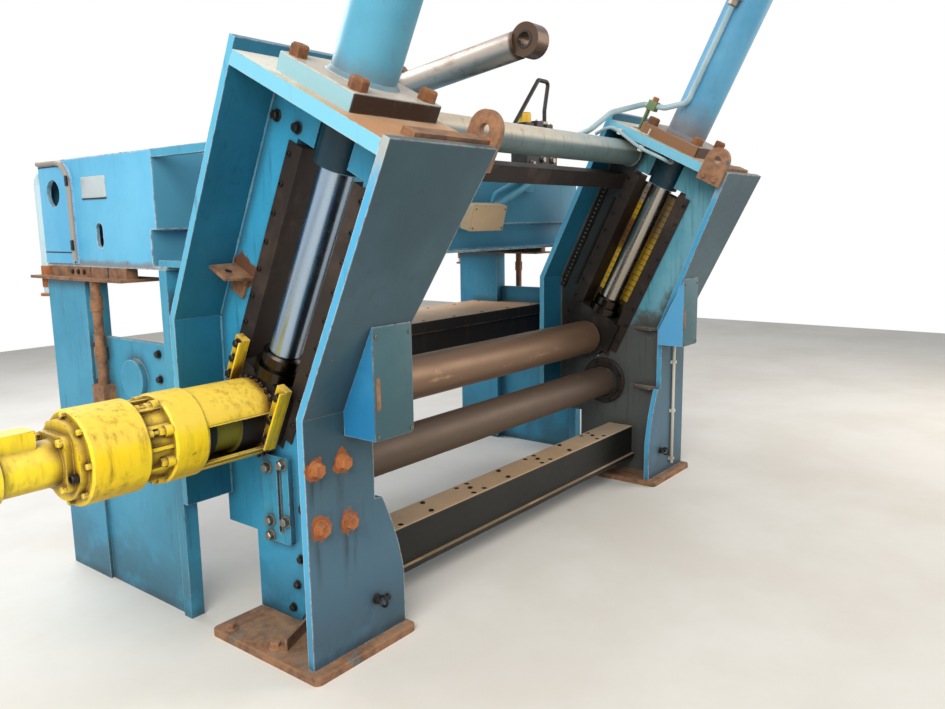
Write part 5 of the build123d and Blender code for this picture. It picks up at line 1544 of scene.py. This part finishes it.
@dataclass
class RamFastenings:
    """Bolts and rings of the cylinder on the bridge."""

    middle: float = PITCH / 2
    front: Vector = field(default_factory=lambda: Vector((PITCH / 2, 0.928, 2.236)))
    way: Vector = field(default_factory=lambda: Vector((0.0, 0.989526, -0.144356)))
    length: float = 0.990
    trunnion: float = 0.200
    eye: float = -0.814
    stand_foot: float = 1.850

    def circle(self, along: float, radius: float, count: int) -> list[Vector]:
        """Points round the cylinder's axis.

        Args:
            along: Distance behind the front face.
            radius: Radius of the circle.
            count: Number of points.

        Returns:
            The points.
        """
        up = SIDE.cross(self.way)
        centre = self.front + along * self.way
        turns = [2.0 * math.pi * (k + 0.5) / count for k in range(count)]
        return [centre + radius * (math.cos(a) * SIDE + math.sin(a) * up) for a in turns]

    def build(self) -> None:
        """Make the bolts and rings."""
        forge = Forge()
        forge.bolts(self.circle(0.0, 0.103, 8), -self.way, 0.030, 0.018)
        forge.bolts(self.circle(self.length, 0.100, 8), self.way, 0.030, 0.018)
        gland = ((0.0665, 0.0), (0.084, 0.0), (0.084, 0.010), (0.080, 0.014), (0.0665, 0.014))
        forge.lathe(seat(self.front, -self.way), gland, 40)
        pivot = self.front + self.trunnion * self.way
        collar = ((0.0405, 0.0), (0.0405, 0.008), (0.064, 0.008), (0.066, 0.006), (0.066, 0.0))
        for side in (-1.0, 1.0):
            at = Vector((self.middle + side * 0.145, pivot.y, pivot.z))
            forge.lathe(seat(at, side * SIDE), collar, 32)
            cap = shaft_circle(pivot, at.x + side * 0.008, 0.053, (45, 135, 225, 315))
            forge.screws(cap, side * SIDE, 0.012, 0.005)
        base = [Vector((self.middle + dx, pivot.y + dy, self.stand_foot)) for dx, dy in corners(0.155, 0.135)]
        forge.bolts(base, SKY, 0.036, 0.020, 0.050)
        forge.hang("bridge_cylinder_bolts", Finish.RUST)
        forge = Forge()
        eye = self.front + self.eye * self.way
        bush = ((0.0305, -0.004), (0.0305, 0.003), (0.039, 0.003), (0.040, 0.002), (0.040, 0.0))
        for side in (-1.0, 1.0):
            at = Vector((self.middle + side * 0.045, eye.y, eye.z))
            forge.lathe(seat(at, side * SIDE), bush, 28)
        forge.hang("ram_eye_bush", Finish.DARK, Body.RAM)


@dataclass
class PipeFittings:
    """Nuts, clamps, the thin pipe and the fittings of valve block and junction box."""

    block_front: float = 0.840
    block_top: float = 2.090
    block_middle: float = 0.900

    def valve(self) -> None:
        """Plugs, screws, nuts and the yellow cap of the valve block."""
        forge = Forge()
        plugs = ((2.460, 1.930), (2.460, 2.040), (2.572, 1.930), (2.572, 2.040), (2.345, 1.900))
        forge.bolts([Vector((x, self.block_front, z)) for x, z in plugs], AHEAD, 0.034, 0.016, 0.044)
        forge.hex_bolt(seat(Vector((2.340, self.block_front, 1.985)), AHEAD), 0.048, 0.034)
        forge.hex_bolt(seat(guide(2.385, 0.838, 2.560), -UP_LEAN), 0.048, 0.038)
        forge.hex_bolt(seat(Vector((2.290, self.block_middle, 2.045)), -SIDE), 0.038, 0.022)
        forge.hex_bolt(seat(Vector((2.575, self.block_middle, 2.156)), SKY), 0.038, 0.022)
        for x, height in ((2.465, 0.078), (2.575, 0.066)):
            top = Vector((x, self.block_middle, self.block_top + height))
            forge.screws([top + Vector((dx, dy, 0.0)) for dx, dy in corners(0.028, 0.030)], SKY, 0.012, 0.008)
        forge.hang("valve_fittings", Finish.BRIGHT)
        forge = Forge()
        cap = seat(Vector((2.350, self.block_middle, 2.149)), SKY)
        forge.lathe(cap, ((0.0385, 0.0), (0.0410, 0.003), (0.0410, 0.054), (0.0360, 0.0625), (0.0, 0.0645)), 28)
        forge.hang("valve_cap", Finish.CAP)

    def clamp(self) -> None:
        """Green pipe clamp on its post, with the white angle beside it."""
        crest = guide(2.385, 1.020, 1.922)
        forge = Forge()
        forge.bar(seat(crest - 0.026 * UP_LEAN, UP_LEAN), (0.050, 0.052, 0.052), 0.003)
        for size in ((0.036, 0.010, 0.140), (0.070, 0.050, 0.008)):
            forge.bar(seat(guide(2.392, 1.040, 1.775), UP_LEAN), size)
        forge.hang("pipe_clamp", Finish.GREEN)
        forge = Forge()
        forge.hex_bolt(seat(crest + 0.026 * UP_LEAN, UP_LEAN), 0.030, 0.022)
        forge.hang("pipe_clamp_bolt", Finish.ORANGE)
        forge = Forge()
        forge.bar(seat(guide(2.345, 1.010, 1.775), UP_LEAN), (0.080, 0.150, 0.005))
        forge.bar(seat(guide(2.345, 0.940, 1.775), UP_LEAN), (0.080, 0.006, 0.040))
        forge.hang("pipe_angle", Finish.WHITE)

    def thin_pipe(self) -> None:
        """Thin pipe along the edge of the right top plate to the gland."""
        route = [guide(2.250, v, u) for v, u in ((1.214, 1.670), (1.140, 1.751), (0.922, 1.707), (0.777, 1.709))]
        route += [guide(2.300, 0.762, 1.700), guide(2.434, 0.800, 1.690)]
        forge = Forge()
        forge.sweep(rounded_path(route, 0.050, 6), 0.0095, 14)
        forge.hang("thin_pipe", Finish.PIPE)
        forge = Forge()
        forge.hex_bolt(seat(guide(2.437, 0.801, 1.690), route[-2] - route[-1]), 0.030, 0.034)
        for v, u in ((0.922, 1.690), (1.080, 1.722)):
            forge.bar(seat(guide(2.262, v, u), UP_LEAN), (0.030, 0.022, 0.032), 0.002)
        forge.hang("thin_pipe_fittings", Finish.WHITE)

    def junction(self) -> None:
        """Lid, screws and second tube of the junction box."""
        tilt = math.radians(16.0)
        out = Vector((0.0, -math.cos(tilt), -math.sin(tilt)))
        face = Vector((1.625, 0.700, 1.585)) + 0.060 * out
        forge = Forge()
        place = seat(face, out)
        forge.bar(place, (0.288, 0.128, 0.005), 0.0012)
        forge.hang("junction_lid", Finish.BOX)
        forge = Forge()
        forge.screws([place @ Vector((x, y, 0.005)) for x, y in corners(0.130, 0.052)], out, 0.011, 0.004)
        forge.hang("junction_screws", Finish.BRIGHT)
        forge = Forge()
        route = [Vector((1.700, 0.682, 1.630)), Vector((1.740, 0.690, 1.700)), Vector((2.120, 0.742, 1.815)),
                 Vector((2.160, 0.776, 1.815))]
        forge.sweep(rounded_path(route, 0.060, 6), 0.012, 14)
        forge.hang("junction_tube", Finish.POST)

    def build(self) -> None:
        """Make all fittings."""
        self.valve()
        self.clamp()
        self.thin_pipe()
        self.junction()


@dataclass
class TableAndBeam:
    """Fastenings of the cross beam, the table and the base plates."""

    beam_top: float = 0.300
    beam_middle: float = 0.275
    table_top: float = 0.992
    group_pitch: float = 0.580
    base_top: float = 0.030
    anchors: Pairs = ((0.185, 0.300), (0.185, 0.500), (-0.225, 0.240), (-0.235, 0.490))

    def build(self) -> None:
        """Make the fastenings."""
        forge = Forge()
        for k in range(-3, 4):
            x = PITCH / 2 + k * self.group_pitch / 2
            forge.screws([Vector((x, self.beam_middle + (0.0 if k % 2 else 0.045), self.beam_top))], SKY, 0.024, 0.006)
            if k % 2 == 0:
                forge.screws([Vector((x - 0.05, self.beam_middle - 0.05, self.beam_top))], SKY, 0.024, 0.006)
        forge.hang("beam_screws", Finish.BLACK)
        forge = Forge()
        points = [Vector((-0.12 + 0.276 * k, y, self.table_top)) for k in range(11) for y in (1.050, 1.500)]
        forge.screws(points, SKY, 0.020, 0.004)
        forge.hang("table_screws", Finish.TABLE)
        forge = Forge()
        for mirrored in (False, True):
            points = [Vector((mirror_x(x, mirrored), y, self.base_top)) for x, y in self.anchors]
            forge.bolts(points, SKY, 0.034, 0.022, 0.050)
        forge.hang("anchor_bolts", Finish.LUG)


@dataclass
class Studio:
    """Pale floor, soft lamps and the camera of the photograph."""

    floor_half: float = 9.0
    floor_shift: float = 1.3
    lens: float = 30.70

    def camera(self) -> None:
        """Stand the camera where the photograph was taken."""
        right = Vector((0.6167, -0.7871, -0.0143))
        down = Vector((-0.1364, -0.0889, -0.9866))
        ahead = Vector((0.7753, 0.6104, -0.1622))
        data = bpy.data.cameras.new("view")
        data.sensor_width = 36.0
        data.lens = self.lens
        data.clip_end = 100.0
        holder = bpy.data.objects.new("view", data)
        turn = Matrix((right, -down, -ahead)).transposed().to_4x4()
        turn.translation = Vector((-1.913, -2.020, 1.550))
        holder.matrix_world = turn
        bpy.context.scene.collection.objects.link(holder)
        bpy.context.scene.camera = holder

    def lamp(self, name: str, at: Vector, aim: Vector, size: float, power: float, tint: Colour) -> None:
        """Soft square lamp.

        Args:
            name: Name of the lamp.
            at: Where it hangs.
            aim: Where it points.
            size: Side length.
            power: Power in watts.
            tint: Colour of the light.
        """
        data = bpy.data.lights.new(name, "AREA")
        data.size = size
        data.energy = power
        data.color = tint
        holder = bpy.data.objects.new(name, data)
        holder.location = at
        holder.rotation_euler = (aim - at).to_track_quat("-Z", "Y").to_euler()
        bpy.context.scene.collection.objects.link(holder)

    def floor(self) -> None:
        """Pale floor that takes the machine's shadow."""
        bm = bmesh.new()
        s, left, right = self.floor_half, self.floor_shift - self.floor_half, self.floor_shift + self.floor_half
        bm.faces.new([bm.verts.new((x, y, 0.0)) for x, y in ((left, -s), (right, -s), (right, s), (left, s))])
        mesh = bpy.data.meshes.new("floor")
        bm.to_mesh(mesh)
        bm.free()
        shade = Shade("pale_floor")
        patches = shade.between(shade.noise(0.9, 5.0, 0.6), 0.35, 0.7)
        colour = shade.mix(patches, (0.80, 0.77, 0.72), (0.72, 0.68, 0.62))
        mesh.materials.append(shade.settle(colour, 0.75))
        floor = bpy.data.objects.new("floor", mesh)
        bpy.context.scene.collection.objects.link(floor)

    def surroundings(self) -> None:
        """White surroundings for the eye and soft grey light for the machine."""
        world = bpy.data.worlds.new("studio")
        bpy.context.scene.world = world
        world.use_nodes = True
        tree = world.node_tree
        tree.nodes.clear()
        seen = add_node(tree, "Background", {"Color": (1.0, 1.0, 1.0, 1.0), "Strength": 1.0})
        light = add_node(tree, "Background", {"Color": (0.94, 0.97, 1.0, 1.0), "Strength": 0.42})
        rays = add_node(tree, "LightPath", {}).outputs
        direct: Feed = rays["Is Camera Ray"]
        for kind in ("Is Glossy Ray", "Is Transmission Ray"):
            direct = add_node(tree, "Math", {0: direct, 1: rays[kind]}, operation="MAXIMUM").outputs[0]
        mixer = add_node(tree, "MixShader", {0: direct, 1: light.outputs[0], 2: seen.outputs[0]})
        add_node(tree, "OutputWorld", {"Surface": mixer.outputs[0]})

    def build(self) -> None:
        """Set up the studio."""
        bpy.context.scene.view_settings.view_transform = "Standard"
        self.camera()
        self.floor()
        self.surroundings()
        middle = Vector((1.1, 0.6, 1.0))
        self.lamp("key", Vector((-4.3, -2.0, 4.6)), middle, 4.2, 395.0, (1.0, 0.97, 0.92))
        self.lamp("fill", Vector((5.6, -3.2, 3.4)), middle, 3.5, 150.0, (1.0, 0.93, 0.84))
        self.lamp("back", Vector((0.6, 5.0, 4.6)), middle, 3.5, 200.0, (0.93, 0.96, 1.0))


class Painter:
    """Gives every CAD node its finish."""

    def build(self) -> None:
        """Assign the finishes to the node's material slots."""
        for name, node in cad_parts.items():
            material = PAINTS.material(NODE_FINISH[name])
            if not node.material_slots:
                node.data.materials.append(material)
            for place in node.material_slots:
                place.material = material
            LOG.info("%s: %s", name, material.name)


def main() -> None:
    """Build the studio and dress the machine, piece by piece."""
    logging.basicConfig(level=logging.INFO, format="%(name)s %(message)s")
    Studio().build()
    Painter().build()
    for part in (FrameFastenings(), WeldSeams(), CoverLids(), DriveFastenings(), WindowScales(), BridgeTrim(),
                 RamFastenings(), PipeFittings(), TableAndBeam()):
        part.build()


if __name__ == "__main__":
    main()
